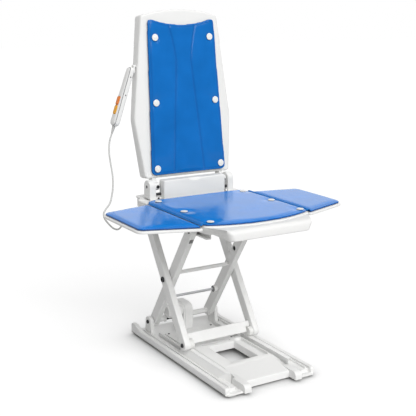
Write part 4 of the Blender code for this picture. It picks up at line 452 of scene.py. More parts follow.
def apply_all(made):
    """The object's mesh with its modifiers applied."""
    graph = bpy.context.evaluated_depsgraph_get()
    mesh = bpy.data.meshes.new_from_object(made.evaluated_get(graph))
    made.modifiers.clear()
    made.data = mesh


def combine(made, work, operation):
    """Join a working mesh to a piece or cut it out."""
    tool = object_from(work, "tool")
    step = made.modifiers.new("combine", "BOOLEAN")
    step.object = tool
    step.operation = operation
    step.solver = "MANIFOLD"
    apply_all(made)
    bpy.data.objects.remove(tool)


def piece(name, work, look, body, place=Matrix(), stands_for=(), joins=(), cuts=()):
    """A finished piece from a working mesh, in its finish, on the body that it moves with."""
    made = object_from(placed(work, place), name)
    for joined in joins:
        combine(made, joined, "UNION")
    for taken in cuts:
        combine(made, taken, "DIFFERENCE")
    tidied = bmesh.new()
    tidied.from_mesh(made.data)
    bmesh.ops.dissolve_degenerate(tidied, edges=tidied.edges, dist=SHORTEST_EDGE)
    tidied.to_mesh(made.data)
    tidied.free()
    made.data.name = name
    made.data.materials.clear()
    made.data.materials.append(look)
    made.data.shade_smooth()
    made.data.set_sharp_from_angle(angle=SHARP_ANGLE)
    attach(made, body)
    if stands_for:
        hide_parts(*stands_for)
    return made


def bolt(name, at, way, radius, height, body, stands_for=(), shank=0.0, shank_radius=0.0):
    """A dark socket bolt whose head stands on a face."""
    head = socket_head(radius, height, radius * 0.52, height * 0.7, shank, shank_radius)
    return piece(name, head, dark_steel, body, along(at, way), stands_for)


def swept(centre, first, last, steps):
    """Points on a circle round a centre, from its first spoke to its last."""
    swing = first.angle_signed(last)
    points = []
    for step in range(steps + 1):
        spoke = first.copy()
        spoke.rotate(Matrix.Rotation(-swing * step / steps, 2))
        points.append(tuple(centre + spoke))
    return points


def rounded(corners, steps=8):
    """An outline from corners (x, y, radius), each corner replaced by an arc."""
    outline = []
    count = len(corners)
    for index, (x, y, radius) in enumerate(corners):
        corner = Vector((x, y))
        back = (Vector(corners[index - 1][:2]) - corner).normalized()
        ahead = (Vector(corners[(index + 1) % count][:2]) - corner).normalized()
        half = back.angle(ahead) / 2
        if radius == 0 or half > math.radians(89.0):
            outline.append((x, y))
            continue
        centre = corner + (back + ahead).normalized() * (radius / math.sin(half))
        reach = radius / math.tan(half)
        outline += swept(centre, corner + back * reach - centre, corner + ahead * reach - centre, steps)
    return outline


def oblong(low, high, corner, steps=8):
    """An upright rectangle's outline between two corners, with rounded corners."""
    return rounded([(low[0], low[1], corner), (high[0], low[1], corner), (high[0], high[1], corner),
                    (low[0], high[1], corner)], steps)


def drawn_in(outline, inset):
    """The outline drawn in along its mitred corners."""
    area = sum(a[0] * b[1] - b[0] * a[1] for a, b in zip(outline, [*outline[1:], outline[0]]))
    hand = 1.0 if area > 0 else -1.0
    loop = []
    for index, point in enumerate(outline):
        here = Vector(point)
        come = (here - Vector(outline[index - 1])).normalized()
        go = (Vector(outline[(index + 1) % len(outline)]) - here).normalized()
        come_in = Vector((-come.y, come.x)) * hand
        mitre = (come_in + Vector((-go.y, go.x)) * hand).normalized()
        loop.append(here + mitre * inset / max(0.4, mitre.dot(come_in)))
    return loop


def slab(outline, steps):
    """A closed form: the outline drawn in and raised by each inset and height, from its underside up."""
    return stacked([[(x, y, height) for x, y in drawn_in(outline, inset)] for inset, height in steps])


def edge_steps(low, high, under, over, count=4, rest=0.0008):
    """Insets and heights up a side wall whose lower and upper edges are rounded."""
    steps = [(under + rest, low)] if rest else []
    turns = [math.pi / 2 * index / count for index in range(count + 1)]
    steps += [(under * (1 - math.sin(turn)), low + under * (1 - math.cos(turn))) for turn in turns]
    steps += [(over * (1 - math.cos(turn)), high - over * (1 - math.sin(turn))) for turn in turns]
    return [*steps, (over + rest, high)] if rest else steps


def block(low, high, edge=0.0015, corner=0.003):
    """A block between two corners with rounded upright corners and rounded rims."""
    return slab(oblong(low, high, corner, 4), edge_steps(low[2], high[2], edge, edge, 3, 0.0))


def side_block(side, inner, outer, low, high, edge, corner):
    """A block on one side of the chair, from its inner to its outer x, between two (y, z) corners."""
    near, far = sorted((side * inner, side * outer))
    return block((near, *low), (far, *high), edge, corner)


def from_side(x):
    """A place whose X and Y are the chair's Y and Z, and whose Z is across the chair at x."""
    return Matrix(((0, 0, 1, x), (1, 0, 0, 0), (0, 1, 0, 0), (0, 0, 0, 1)))


def from_front(y):
    """A place whose X and Y are the chair's X and Z, and whose Z points to the front from y."""
    return Matrix(((1, 0, 0, 0), (0, 0, -1, y), (0, 1, 0, 0), (0, 0, 0, 1)))


def board(outline, half, edge, place):
    """An outline as a board with rounded rims, half its thickness to each side of its place."""
    return placed(slab(outline, edge_steps(-half, half, edge, edge)), place)


def base_side(side):
    """One side of the tray: wall with its rear hump, channel, ridges, rail, front lug and pivot post."""
    hump_foot = BASE_REAR - HUMP_LENGTH
    wall = rounded([(WALL_FRONT_Y, BASE_LOW, 0.002), (BASE_REAR, BASE_LOW, 0.002),
                    (BASE_REAR, HUMP_TOP, 0.009), (hump_foot + HUMP_SLOPE, HUMP_TOP, 0.016),
                    (hump_foot, WALL_TOP, 0.024), (WALL_FRONT_Y, WALL_TOP, 0.008)])
    half = WALL_WIDTH / 2
    forms = [board(wall, half, WALL_EDGE, from_side(side * (BASE_HALF - half)))]
    for inner, outer, front, rear, top, edge in SIDE_BLOCKS:
        forms.append(side_block(side, inner, outer, (front, FLOOR_ROOT), (rear, top), edge, edge * 1.3))
    rail = [(side * x, z) for x, z in RAIL_SECTION]
    length = RAIL_REAR_Y - RAIL_FRONT_Y
    rail_steps = [(0.0, 0.0), (0.0, length - 0.0012), (0.0003, length - 0.0004), (0.0010, length)]
    track = placed(slab(rail, rail_steps), from_front(RAIL_REAR_Y))
    for vert in track.verts:
        if vert.co.y < RAIL_FRONT_Y + 0.002:
            across = abs(vert.co.x)
            vert.co.y += 0.6 * (across - RAIL_INNER_X) + 1.8 * max(0.0, across - RAIL_EDGE_X)
    forms.append(track)
    foot = BASE_LOW + 0.0005
    lug = rounded([(-BASE_REAR, foot, 0.002), (FRONT_LUG_REAR_Y, foot, 0),
                   (FRONT_LUG_REAR_Y, FRONT_LUG_TOP, 0.006), (-BASE_REAR, FRONT_LUG_TOP, 0.014)])
    half = FRONT_LUG_WIDTH / 2
    forms.append(board(lug, half, FRONT_LUG_EDGE, from_side(side * (LUG_INNER_X + half))))
    foot = FLOOR_ROOT + 0.001
    crown = AXLE_Z + POST_RADIUS
    spread = POST_RADIUS * 1.3
    turn = POST_RADIUS * 0.98
    post = rounded([(AXLE_Y - spread, foot, 0), (AXLE_Y + spread, foot, 0),
                    (AXLE_Y + POST_RADIUS, crown, turn), (AXLE_Y - POST_RADIUS, crown, turn)], 10)
    half = POST_WIDTH / 2
    forms.append(board(post, half, POST_EDGE, from_side(side * (POST_INNER_X + half))))
    return forms


floor_half = BASE_HALF - 0.001
floor_rear = BASE_REAR - 0.001
notch_x, notch_y = FLOOR_NOTCH
floor_left = [(-floor_half, floor_rear, 0.012), (-floor_half, FLOOR_FRONT_Y, 0.012),
              (-notch_x, FLOOR_FRONT_Y, 0.002), (-notch_x, notch_y, 0.002)]
floor_outline = rounded([*floor_left, *[(-x, y, radius) for x, y, radius in reversed(floor_left)]])
floor_form = slab(floor_outline, edge_steps(BASE_LOW, FLOOR_TOP, 0.001, 0.001))
platform = block((-PLATFORM_HALF, PLATFORM_FRONT_Y, FLOOR_ROOT),
                 (PLATFORM_HALF, PLATFORM_REAR_Y, PLATFORM_TOP), 0.0035, 0.006)
apron = board(rounded(APRON_SECTION, 6), APRON_HALF, FRONT_LUG_EDGE, from_side(0.0))
window_outline = oblong((-WINDOW_HALF, WINDOW_FRONT_Y), (WINDOW_HALF, WINDOW_REAR_Y), 0.004, 5)
window = slab(window_outline, [(0.0, -0.01), (0.0, PLATFORM_TOP - 0.002), (-0.0006, PLATFORM_TOP - 0.0008),
                               (-0.002, PLATFORM_TOP), (-0.004, PLATFORM_TOP + 0.004)])
axle_way = along(Vector((-BASE_HALF, AXLE_Y, AXLE_Z)), sideways)
axle_hole = placed(bar(AXLE_HOLE_RADIUS, 2 * BASE_HALF, 0.0001), axle_way)
piece("base_tray_moulding", floor_form, white_plastic, "base", stands_for=["base_tray"],
      joins=[*base_side(-1), *base_side(1), platform, apron],
      cuts=[block(*WINDOW_HOLLOW), block(*PLATFORM_SLOT, 0.0005, 0.004), block(*PLATFORM_DISH, 0.002, 0.008),
            window, axle_hole])
dress("floor_cover", white_plastic)
for corner in ("front_left", "front_right", "rear_left", "rear_right"):
    dress("suction_cup_" + corner, cup_rubber)
cover_low, cover_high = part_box("floor_cover")
cover_corners = [(x, y) for y in (cover_low.y + COVER_SCREW_INSET, cover_high.y - COVER_SCREW_INSET)
                 for x in (cover_low.x + COVER_SCREW_INSET, cover_high.x - COVER_SCREW_INSET)]
for index, (x, y) in enumerate(cover_corners):
    bolt(f"cover_screw_{index + 1}", Vector((x, y, cover_high.z)), upwards, COVER_SCREW_RADIUS,
         COVER_SCREW_HEIGHT, "base")


# Drive: a white gearbox and motor drum bolted to the tray round the rear axle, a nylon wheel on
# the axle and a steel pinion inside, and a white cap over the end of the drum.
NYLON_GREY = (0.28, 0.28, 0.29, 1.0)
ROD_STEEL = (0.66, 0.67, 0.69, 1.0)
MOTOR_AXIS_Y = 0.211
MOTOR_AXIS_Z = 0.084481
MOTOR_CAP_RADIUS = 0.0192
MOTOR_CAP_PROFILE = ((0.0, -0.0004), (1.0, -0.0004), (1.0, 0.0027), (0.94, 0.0045), (0.55, 0.0045),
                     (0.5, 0.0027), (0.0, 0.0027))
GEARBOX_SCREWS = ((0.197, 0.040), (0.255, 0.040), (0.255, 0.088))
GEARBOX_SCREW_RADIUS = 0.0038
GEARBOX_SCREW_HEIGHT = 0.0016

grey_nylon = surface("grey_glide_nylon", NYLON_GREY, 0.5)
bright_steel = surface("bright_rod_steel", ROD_STEEL, 0.34, metallic=1.0, gloss=0.12, patch=30.0,
                       depth=0.00002)
dress("gearbox_housing", white_plastic)
dress("drive_motor", white_plastic)
dress("drive_wheel", grey_nylon)
dress("drive_pinion", bright_steel)
motor_end_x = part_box("drive_motor")[0].x
gearbox_end_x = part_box("gearbox_housing")[1].x
cap = lathe([(MOTOR_CAP_RADIUS * across, height) for across, height in MOTOR_CAP_PROFILE], 40)
cap_spot = Vector((motor_end_x, MOTOR_AXIS_Y, MOTOR_AXIS_Z))
piece("motor_end_cap", cap, white_plastic, "base", along(cap_spot, -sideways))
for index, (y, z) in enumerate(GEARBOX_SCREWS):
    bolt(f"gearbox_screw_{index + 1}", Vector((gearbox_end_x, y, z)), sideways, GEARBOX_SCREW_RADIUS,
         GEARBOX_SCREW_HEIGHT, "base")


# Inner arms: a pair of white moulded bars with rounded edges, which turn on the rear axle and carry
# glides at their tops. Flush dark bolts, a painted cross tube and a chromed rod tie the pair together.
FRONT_PIVOT_Y = -0.009979
LIFT_ANGLE = math.radians(56.0)
ARM_LENGTH = 0.422
ARM_HALF_WIDTH = 0.017
ARM_THICKNESS = 0.020
ARM_EDGE = 0.0028
INNER_ARM_X = 0.102
ARM_BOLT_RADIUS = 0.0078
ARM_BOLT_SINK = 0.0030
ARM_PIN_HOLE_RADIUS = 0.0022
ARM_PIN_HOLE_BACK = 0.033
ARM_PIN_HOLE_ASIDE = 0.004
MID_BOLT_AT = 0.304
MID_BOLT_ASIDE = -0.0030
CLIP_BACK = 0.028
CLIP_GREY = (0.20, 0.20, 0.20, 1.0)
CROSS_TUBE_AT = 0.555
CROSS_TUBE_RADIUS = 0.006
TUBE_FOOT_RADIUS = 0.007
TUBE_FOOT_HEIGHT = 0.006
CROSS_ROD_AT = 0.27
CROSS_ROD_RADIUS = 0.0046
ROD_BOSS = ((CROSS_ROD_RADIUS, 0.0), (0.0116, 0.0), (0.0116, 0.003), (0.0108, 0.0105), (0.0100, 0.0118),
            (CROSS_ROD_RADIUS, 0.0118))
ROD_BOSS_LENGTH = 0.0118
ROD_COLLAR = ((CROSS_ROD_RADIUS, 0.0), (0.0098, 0.0), (0.0104, 0.0005), (0.0104, 0.0013), (0.0098, 0.0018),
              (CROSS_ROD_RADIUS, 0.0018))
SLEEVE_RADIUS = 0.0088
SLEEVE_END = ((0.0062, 0.0), (0.0112, 0.0), (0.0112, 0.004), (SLEEVE_RADIUS, 0.0055))
INNER_FACE_X = 0.092
FACE_GAP = 0.0003


def arm_place(x, y, heading):
    """A place at an arm's lower pivot: X along the arm, Z across the chair."""
    return Matrix.Translation((x, y, AXLE_Z)) @ from_side(0.0) @ Matrix.Rotation(heading, 4, "Z")


def arm_form():
    """An arm as a bar with round ends and rounded edges."""
    half = ARM_HALF_WIDTH
    outline = oblong((-half, -half), (ARM_LENGTH + half, half), half * 0.98)
    return board(outline, ARM_THICKNESS / 2, ARM_EDGE, Matrix())


def arm_spot(place, x, y, side):
    """A place sunk into an arm's face, facing outwards from it."""
    return place @ along(Vector((x, y, side * (ARM_THICKNESS / 2 - ARM_BOLT_SINK))), upwards * side)


def sunk(place, x, y, side, radius):
    """A cutter for a round recess in an arm's face."""
    return placed(bar(radius, 0.02, 0.0001), arm_spot(place, x, y, side))


def arm_bolt(name, place, x, y, side, body):
    """A dark bolt sunk flush into an arm's face."""
    spot = arm_spot(place, x, y, side)
    way = spot.to_3x3() @ upwards
    bolt(name, spot.translation, way, ARM_BOLT_RADIUS - FACE_GAP, ARM_BOLT_SINK - 0.0004, body)


clip_grey = surface("grey_clip_plastic", CLIP_GREY, 0.45)
lift_heading = math.pi - LIFT_ANGLE
clip_at = ARM_LENGTH - CLIP_BACK
for side, name in SIDES:
    place = arm_place(side * INNER_ARM_X, AXLE_Y, lift_heading)
    cuts = [sunk(place, ARM_LENGTH, 0.0, side, ARM_BOLT_RADIUS),
            sunk(place, ARM_LENGTH - ARM_PIN_HOLE_BACK, ARM_PIN_HOLE_ASIDE, side, ARM_PIN_HOLE_RADIUS),
            sunk(place, MID_BOLT_AT, MID_BOLT_ASIDE, -side, ARM_BOLT_RADIUS)]
    piece("inner_arm_bar_" + name, arm_form(), white_plastic, "inner_arms", place, ["inner_arm_" + name],
          cuts=cuts)
    arm_bolt("arm_top_bolt_" + name, place, ARM_LENGTH, 0.0, side, "inner_arms")
    arm_bolt("arm_mid_bolt_" + name, place, MID_BOLT_AT, MID_BOLT_ASIDE, -side, "inner_arms")
    clip = block((clip_at - 0.007, ARM_HALF_WIDTH - 0.001, -0.006),
                 (clip_at + 0.007, ARM_HALF_WIDTH + 0.0016, 0.006), 0.0008, 0.001)
    piece("arm_clip_" + name, clip, clip_grey, "inner_arms", place)
    dress("seat_glide_" + name, grey_nylon)

lift_foot = Vector((0, AXLE_Y, AXLE_Z))
lift_way = Vector((0, math.cos(lift_heading), math.sin(lift_heading)))
half_span = INNER_FACE_X - FACE_GAP
tube_at = lift_foot + lift_way * ARM_LENGTH * CROSS_TUBE_AT - sideways * half_span
tube_profile = [(0.0, 0.0), (TUBE_FOOT_RADIUS, 0.0), (TUBE_FOOT_RADIUS, TUBE_FOOT_HEIGHT * 0.5),
                (CROSS_TUBE_RADIUS, TUBE_FOOT_HEIGHT)]
tube_profile += [(radius, 2 * half_span - height) for radius, height in reversed(tube_profile)]
piece("cross_tube_bar", lathe(tube_profile), white_plastic, "inner_arms", along(tube_at, sideways),
      ["cross_tube"])

rod_at = lift_foot + lift_way * ARM_LENGTH * CROSS_ROD_AT
piece("cross_rod_bar", bar(CROSS_ROD_RADIUS, 2 * half_span), bright_steel, "inner_arms",
      along(rod_at - sideways * half_span, sideways), ["cross_rod"])
for side, name in SIDES:
    end = rod_at + sideways * side * half_span
    inwards = sideways * -side
    piece("rod_boss_" + name, lathe(ROD_BOSS), white_plastic, "inner_arms", along(end, inwards))
    piece("rod_collar_" + name, lathe(ROD_COLLAR), clip_grey, "inner_arms",
          along(end + inwards * ROD_BOSS_LENGTH, inwards))

dress("rear_axle", dark_steel)
sleeve_spans = (("left", -half_span, motor_end_x - 0.001), ("right", gearbox_end_x + 0.001, half_span))
for name, start, end in sleeve_spans:
    far_end = [(radius, end - start - height) for radius, height in reversed(SLEEVE_END)]
    piece("axle_sleeve_" + name, lathe([*SLEEVE_END, *far_end]), white_plastic, "inner_arms",
          along(lift_foot + sideways * start, sideways))


# Outer arms: the same bars on the outside, joined to the inner pair by socket bolts at the crossing
# and to each other by a folded white plate. White nylon glides at their feet run on the base rails.
OUTER_ARM_X = 0.1235
OUTER_FACE_X = 0.1335
CROSSING = Vector((0, 0.10801, 0.233427))
CROSSING_BOLT_RADIUS = 0.0088
SEAT_PIN_RADIUS = 0.0100
BOLT_HEAD_HEIGHT = 0.0046
BOLT_SHANK = (0.040, 0.0045)
FOOT_BOLT_RADIUS = 0.0066
FOOT_BOLT_HEIGHT = 0.0034
SEAT_PIVOT_Z = 0.408354
NATURAL_NYLON = (0.80, 0.80, 0.78, 1.0)

natural_nylon = surface("natural_nylon", NATURAL_NYLON, 0.45, shade=0.05)
seat_pivot = Vector((0, AXLE_Y, SEAT_PIVOT_Z))
foot_pivot = Vector((0, FRONT_PIVOT_Y, AXLE_Z))
for side, name in SIDES:
    place = arm_place(side * OUTER_ARM_X, FRONT_PIVOT_Y, LIFT_ANGLE)
    piece("outer_arm_bar_" + name, arm_form(), white_plastic, "outer_arms", place, ["outer_arm_" + name])
    outwards = sideways * side
    face = outwards * (OUTER_FACE_X + FACE_GAP)
    bolt("crossing_socket_bolt_" + name, CROSSING + face, outwards, CROSSING_BOLT_RADIUS, BOLT_HEAD_HEIGHT,
         "outer_arms", ["crossing_bolt_" + name], *BOLT_SHANK)
    bolt("seat_socket_pin_" + name, seat_pivot + face, outwards, SEAT_PIN_RADIUS, BOLT_HEAD_HEIGHT, "seat",
         ["seat_pivot_pin_" + name], *BOLT_SHANK)
    bolt("foot_bolt_" + name, foot_pivot + face, outwards, FOOT_BOLT_RADIUS, FOOT_BOLT_HEIGHT, "outer_arms")
    dress("track_glide_" + name, natural_nylon)
dress("cross_plate", white_plastic)


# Seat brackets: white moulded rails screwed under the seat, with a pivot lug at the rear and
# a short keeper under the glide of each inner arm.
for name in ("left", "right"):
    dress("seat_bracket_" + name, white_plastic)


# Seat shell: one white moulding with a thin rim, a set-in ribbed body underneath and a front nose
# whose ends sweep up into the rim. The knuckles of the flap hinges are moulded on its sides.
SEAT_TOP = 0.472354
SEAT_HALF = 0.1765
SEAT_RIM = 0.012
SEAT_RIM_STEPS = ((0.0075, SEAT_RIM), (0.0030, 0.0056), (0.0009, 0.0048), (0.0, 0.0038), (0.0, 0.0012),
                  (0.0004, 0.0004), (0.0012, 0.0))
SEAT_BOTTOM = 0.437354
SEAT_FRONT_CORNER_Y = -0.205
SEAT_FRONT_Y = -0.2475
SEAT_FRONT_ROUND = 0.018
SEAT_REAR_HALF = 0.155
SEAT_REAR_Y = 0.250
SEAT_SHOULDER_Y = 0.185
SEAT_TAPER = 0.025
SEAT_REAR_ROUND = 0.010
BODY_HALF = 0.1505
BODY_FRONT_Y = -0.190
BODY_CORNER = 0.050
BODY_EDGE = 0.005
NOSE_HALF = 0.137
NOSE_FRONT_Y = -0.276
NOSE_LOW = 0.438354
NOSE_TOP = 0.469354
NOSE_CORNER = 0.016
NOSE_ROOT_Y = -0.205
NOSE_HEEL_Y = -0.170
NOSE_ROOT_LOW = 0.118
NOSE_ROOT_SPREAD = 0.0555
NOSE_UPPER_ROUND = 0.013
NOSE_LOWER_ROUND = 0.004
RIB = 0.003
POCKET_TOP = 0.467354
POCKET_COLUMNS = ((0.0015, 0.0701), (0.0761, 0.109), (0.115, 0.1445))
POCKET_STARTS = (-0.160, -0.160, -0.130)
POCKET_ROWS = (5, 5, 4)
POCKET_END = 0.241
FLAP_HINGE_X = 0.17725
FLAP_HINGE_Z = 0.475654
KNUCKLE_RADIUS = 0.0034
KNUCKLE_COUNT = 5
KNUCKLE_FRONT_Y = -0.180
KNUCKLE_REAR_Y = 0.100
KNUCKLE_GAP = 0.001
KNUCKLE_NECK = 0.0033
SEAT_NECK_ROOT = 0.006
FLAP_NECK_ROOT = 0.010


def arc(start, middle, end, steps):
    """Points on the circle through three points, without its end points."""
    ax, ay = Vector(start) - Vector(middle)
    bx, by = Vector(end) - Vector(middle)
    turn = 2 * (ax * by - ay * bx)
    ux = (by * (ax * ax + ay * ay) - ay * (bx * bx + by * by)) / turn
    uy = (ax * (bx * bx + by * by) - bx * (ax * ax + ay * ay)) / turn
    centre = Vector(middle) + Vector((ux, uy))
    return swept(centre, Vector(start) - centre, Vector(end) - centre, steps)[1:-1]


def seat_outline(half, front_y, corner, rear):
    """An outline with the seat's bowed front, closed at the rear by the given left-hand corners."""
    bow = arc((-half, SEAT_FRONT_CORNER_Y), (0, front_y), (half, SEAT_FRONT_CORNER_Y), 24)
    left = [*rear, (-half, SEAT_FRONT_CORNER_Y, corner)]
    right = [(-x, y, radius) for x, y, radius in reversed(left)]
    return rounded([*left, *[(x, y, 0) for x, y in bow], *right])


def knuckles(side, first, neck, root):
    """Every second hinge knuckle from the first on, each with its neck down to the part that carries it."""
    pitch = (KNUCKLE_REAR_Y - KNUCKLE_FRONT_Y) / KNUCKLE_COUNT
    forms = []
    for index in range(first, KNUCKLE_COUNT, 2):
        front = KNUCKLE_FRONT_Y + index * pitch + KNUCKLE_GAP / 2
        rear = front + pitch - KNUCKLE_GAP
        at = Vector((side * FLAP_HINGE_X, front, FLAP_HINGE_Z))
        forms.append(placed(bar(KNUCKLE_RADIUS, rear - front, 0.0003, 20), along(at, Vector((0, 1, 0)))))
        low = (front, FLAP_HINGE_Z - KNUCKLE_NECK - root)
        high = (rear, FLAP_HINGE_Z)
        forms.append(side_block(side, FLAP_HINGE_X, FLAP_HINGE_X + neck, low, high, 0.0002, 0.0004))
    return forms


def nose_form():
    """The nose: a straight front whose ends sweep out to the rim above and in below."""
    loops = []
    for inset, height in edge_steps(NOSE_LOW, NOSE_TOP, NOSE_LOWER_ROUND, NOSE_UPPER_ROUND, 6, 0.001):
        share = (height - NOSE_LOW) / (NOSE_TOP - NOSE_LOW)
        root = NOSE_ROOT_LOW + NOSE_ROOT_SPREAD * share ** 1.35
        front = NOSE_FRONT_Y + inset
        half = NOSE_HALF - inset * 0.25
        outline = rounded([(-root, NOSE_ROOT_Y, 0), (-half, front, NOSE_CORNER), (half, front, NOSE_CORNER),
                           (root, NOSE_ROOT_Y, 0), (root * 0.8, NOSE_HEEL_Y, 0),
                           (-root * 0.8, NOSE_HEEL_Y, 0)], 10)
        loops.append([(x, y, height) for x, y in outline])
    return stacked(loops)


rim_outline = seat_outline(SEAT_HALF, SEAT_FRONT_Y, SEAT_FRONT_ROUND,
                           [(-SEAT_REAR_HALF, SEAT_REAR_Y, SEAT_REAR_ROUND),
                            (-SEAT_REAR_HALF, SEAT_SHOULDER_Y + SEAT_TAPER, SEAT_REAR_ROUND),
                            (-SEAT_HALF, SEAT_SHOULDER_Y, SEAT_REAR_ROUND)])
rim_form = slab(rim_outline, [(inset, SEAT_TOP - drop) for inset, drop in SEAT_RIM_STEPS])
body_rear = SEAT_REAR_Y - 0.001
body_outline = rounded([(-BODY_HALF, BODY_FRONT_Y, BODY_CORNER), (BODY_HALF, BODY_FRONT_Y, BODY_CORNER),
                        (BODY_HALF, body_rear, SEAT_REAR_ROUND),
                        (-BODY_HALF, body_rear, SEAT_REAR_ROUND)], 12)
body_form = slab(body_outline, edge_steps(SEAT_BOTTOM, SEAT_TOP - SEAT_RIM / 2, BODY_EDGE, 0.001))
pockets = []
for (inner, outer), start, rows in zip(POCKET_COLUMNS, POCKET_STARTS, POCKET_ROWS):
    pitch = (POCKET_END - start + RIB) / rows
    for front in (start + row * pitch for row in range(rows)):
        for side in (-1, 1):
            pockets.append(side_block(side, inner, outer, (front, SEAT_BOTTOM - 0.02),
                                      (front + pitch - RIB, POCKET_TOP), 0.002, 0.004))
seat_knuckles = [form for side in (-1, 1) for form in knuckles(side, 0, -KNUCKLE_NECK, SEAT_NECK_ROOT)]
piece("seat_moulding", rim_form, white_plastic, "seat", stands_for=["seat_shell"],
      joins=[body_form, nose_form(), *seat_knuckles], cuts=pockets)
for name in ("left", "right"):
    dress("flap_hinge_rod_" + name, bright_steel)
dress("cable_gland", white_plastic)


# Hinge housing: a white moulded panel with a finger notch behind the seat pad and a cheek at each end,
# one piece with its feet. Steel pins through the cheeks carry the back; dark screws show in the gaps.
HOUSING_LOW = 0.472654
PANEL_HALF = 0.10925
PANEL_FRONT_Y = 0.140
PANEL_REAR_Y = 0.1735
PANEL_TOP = 0.532654
PANEL_EDGE = 0.0035
PANEL_CORNER = 0.0040
CHEEK_INNER = 0.12925
CHEEK_OUTER = 0.15075
HINGE_Y = 0.175
HINGE_Z = 0.512054
CHEEK_RADIUS = 0.0205
CHEEK_EDGE = 0.0028
FOOT_INNER = 0.10725
FOOT_OUTER = 0.13325
FOOT_FRONT_Y = 0.1585
FOOT_REAR_Y = 0.1695
FOOT_LOW = 0.4732
FOOT_TOP = 0.4797
NOTCH_HALF = 0.024
NOTCH_DROP = 0.0085
NOTCH_DEPTH = 0.012
GAP_MIDDLE = 0.1193
SPACER_RADIUS = 0.0046
SPACER_Y = 0.1640
SPACER_Z = 0.4885
CHEEK_HOLE_RADIUS = 0.0022
HOUSING_SCREW_RADIUS = 0.0031
HOUSING_SCREW_HEIGHT = 0.0016
forwards = Vector((0, -1, 0))

panel = block((-PANEL_HALF, PANEL_FRONT_Y, HOUSING_LOW), (PANEL_HALF, PANEL_REAR_Y, PANEL_TOP),
              PANEL_EDGE, PANEL_CORNER)
housing_parts = []
housing_cuts = []
cheek_front, cheek_rear = HINGE_Y - CHEEK_RADIUS, HINGE_Y + CHEEK_RADIUS
cheek_top = HINGE_Z + CHEEK_RADIUS
cheek_outline = rounded([(cheek_front, HOUSING_LOW, 0.002), (cheek_rear, HOUSING_LOW, 0.002),
                         (cheek_rear, cheek_top, CHEEK_RADIUS * 0.98),
                         (cheek_front, cheek_top, CHEEK_RADIUS * 0.98)], 12)
cheek_middle = (CHEEK_INNER + CHEEK_OUTER) / 2
cheek_half = (CHEEK_OUTER - CHEEK_INNER) / 2
for side in (-1, 1):
    housing_parts.append(board(cheek_outline, cheek_half, CHEEK_EDGE, from_side(side * cheek_middle)))
    housing_parts.append(side_block(side, FOOT_INNER, FOOT_OUTER, (FOOT_FRONT_Y, FOOT_LOW),
                                    (FOOT_REAR_Y, FOOT_TOP), 0.0006, 0.001))
    hole_at = Vector((side * (CHEEK_OUTER - 0.004), HINGE_Y - 0.006, HINGE_Z - 0.024))
    housing_cuts.append(placed(bar(CHEEK_HOLE_RADIUS, 0.02, 0.0001, 20), along(hole_at, sideways * side)))
notch_points = [(NOTCH_HALF * math.cos(turn), PANEL_TOP - NOTCH_DROP * math.sin(turn))
                for turn in (math.pi * index / 24 for index in range(25))]
notch_points += [(-NOTCH_HALF, PANEL_TOP + 0.006), (NOTCH_HALF, PANEL_TOP + 0.006)]
notch = slab(notch_points, [(0.0, -NOTCH_DEPTH), (0.0, NOTCH_DEPTH / 4)])
for vert in notch.verts:
    vert.co.y -= vert.co.z
housing_cuts.append(placed(notch, from_front(PANEL_FRONT_Y)))
piece("hinge_housing_moulding", panel, white_plastic, "seat", stands_for=["hinge_housing"],
      joins=housing_parts, cuts=housing_cuts)
for side, name in SIDES:
    dress("back_hinge_pin_" + name, dark_steel)
    foot_spot = Vector((side * GAP_MIDDLE, FOOT_FRONT_Y, (FOOT_LOW + FOOT_TOP) / 2))
    bolt("housing_screw_" + name, foot_spot, forwards, HOUSING_SCREW_RADIUS, HOUSING_SCREW_HEIGHT, "seat")
    spacer_at = Vector((side * (PANEL_HALF + FACE_GAP), SPACER_Y, SPACER_Z))
    spacer = bar(SPACER_RADIUS, CHEEK_INNER - PANEL_HALF - 2 * FACE_GAP)
    piece("housing_spacer_" + name, spacer, dark_steel, "seat", along(spacer_at, sideways * side))


# Seat pad: blue foam under a smooth vinyl cover, flat underneath and softly swollen on top, with a
# welded hem inside its edge. It is pressed onto the shell by white studs that dimple the cover.
PAD_BLUE = (0.004, 0.150, 0.510, 1.0)
# Painted shade: the dark blue that the pads take on their lower sides and in their hem and channel grooves.
PAD_SHADE_BLUE = (0.004, 0.060, 0.270, 1.0)
PAD_BOUNCE = (0.180, 0.230, 0.300, 1.0)
# Painted light: the seat and flap pads have the back pad's vinyl, painted a lighter blue for the light from
# above.
SEAT_PAINTED_LIGHT_BLUE = (0.008, 0.225, 0.740, 1.0)
PAD_SHEEN = (0.10, 0.48, 1.0, 1.0)
PEBBLE_DEPTH = 0.00004
PAD_VOXEL = 0.0042
PAD_PRESSURE = 4.0
PAD_FRAMES = 7
PAD_SWELL = 0.0022
PAD_UNDER_EDGE = 0.0012
PAD_UPPER_EDGE = 0.0040
PAD_SLACK = (0.0006, 0.0012)
HEM_INSET = 0.0085
HEM_WIDTH = 0.0022
HEM_DEPTH = 0.0006
# How far the hem groove is painted darker, as painted shade in the crease.
HEM_SHADE = 0.35
# How far each pad's lower side is painted darker, as painted shade under its edge.
PAD_SIDE_SHADE = 0.9
DIMPLE_REACH = 0.017
DIMPLE_DEPTH = 0.0010
CHANNEL_WIDTH = 0.0030
CHANNEL_DEPTH = 0.0018
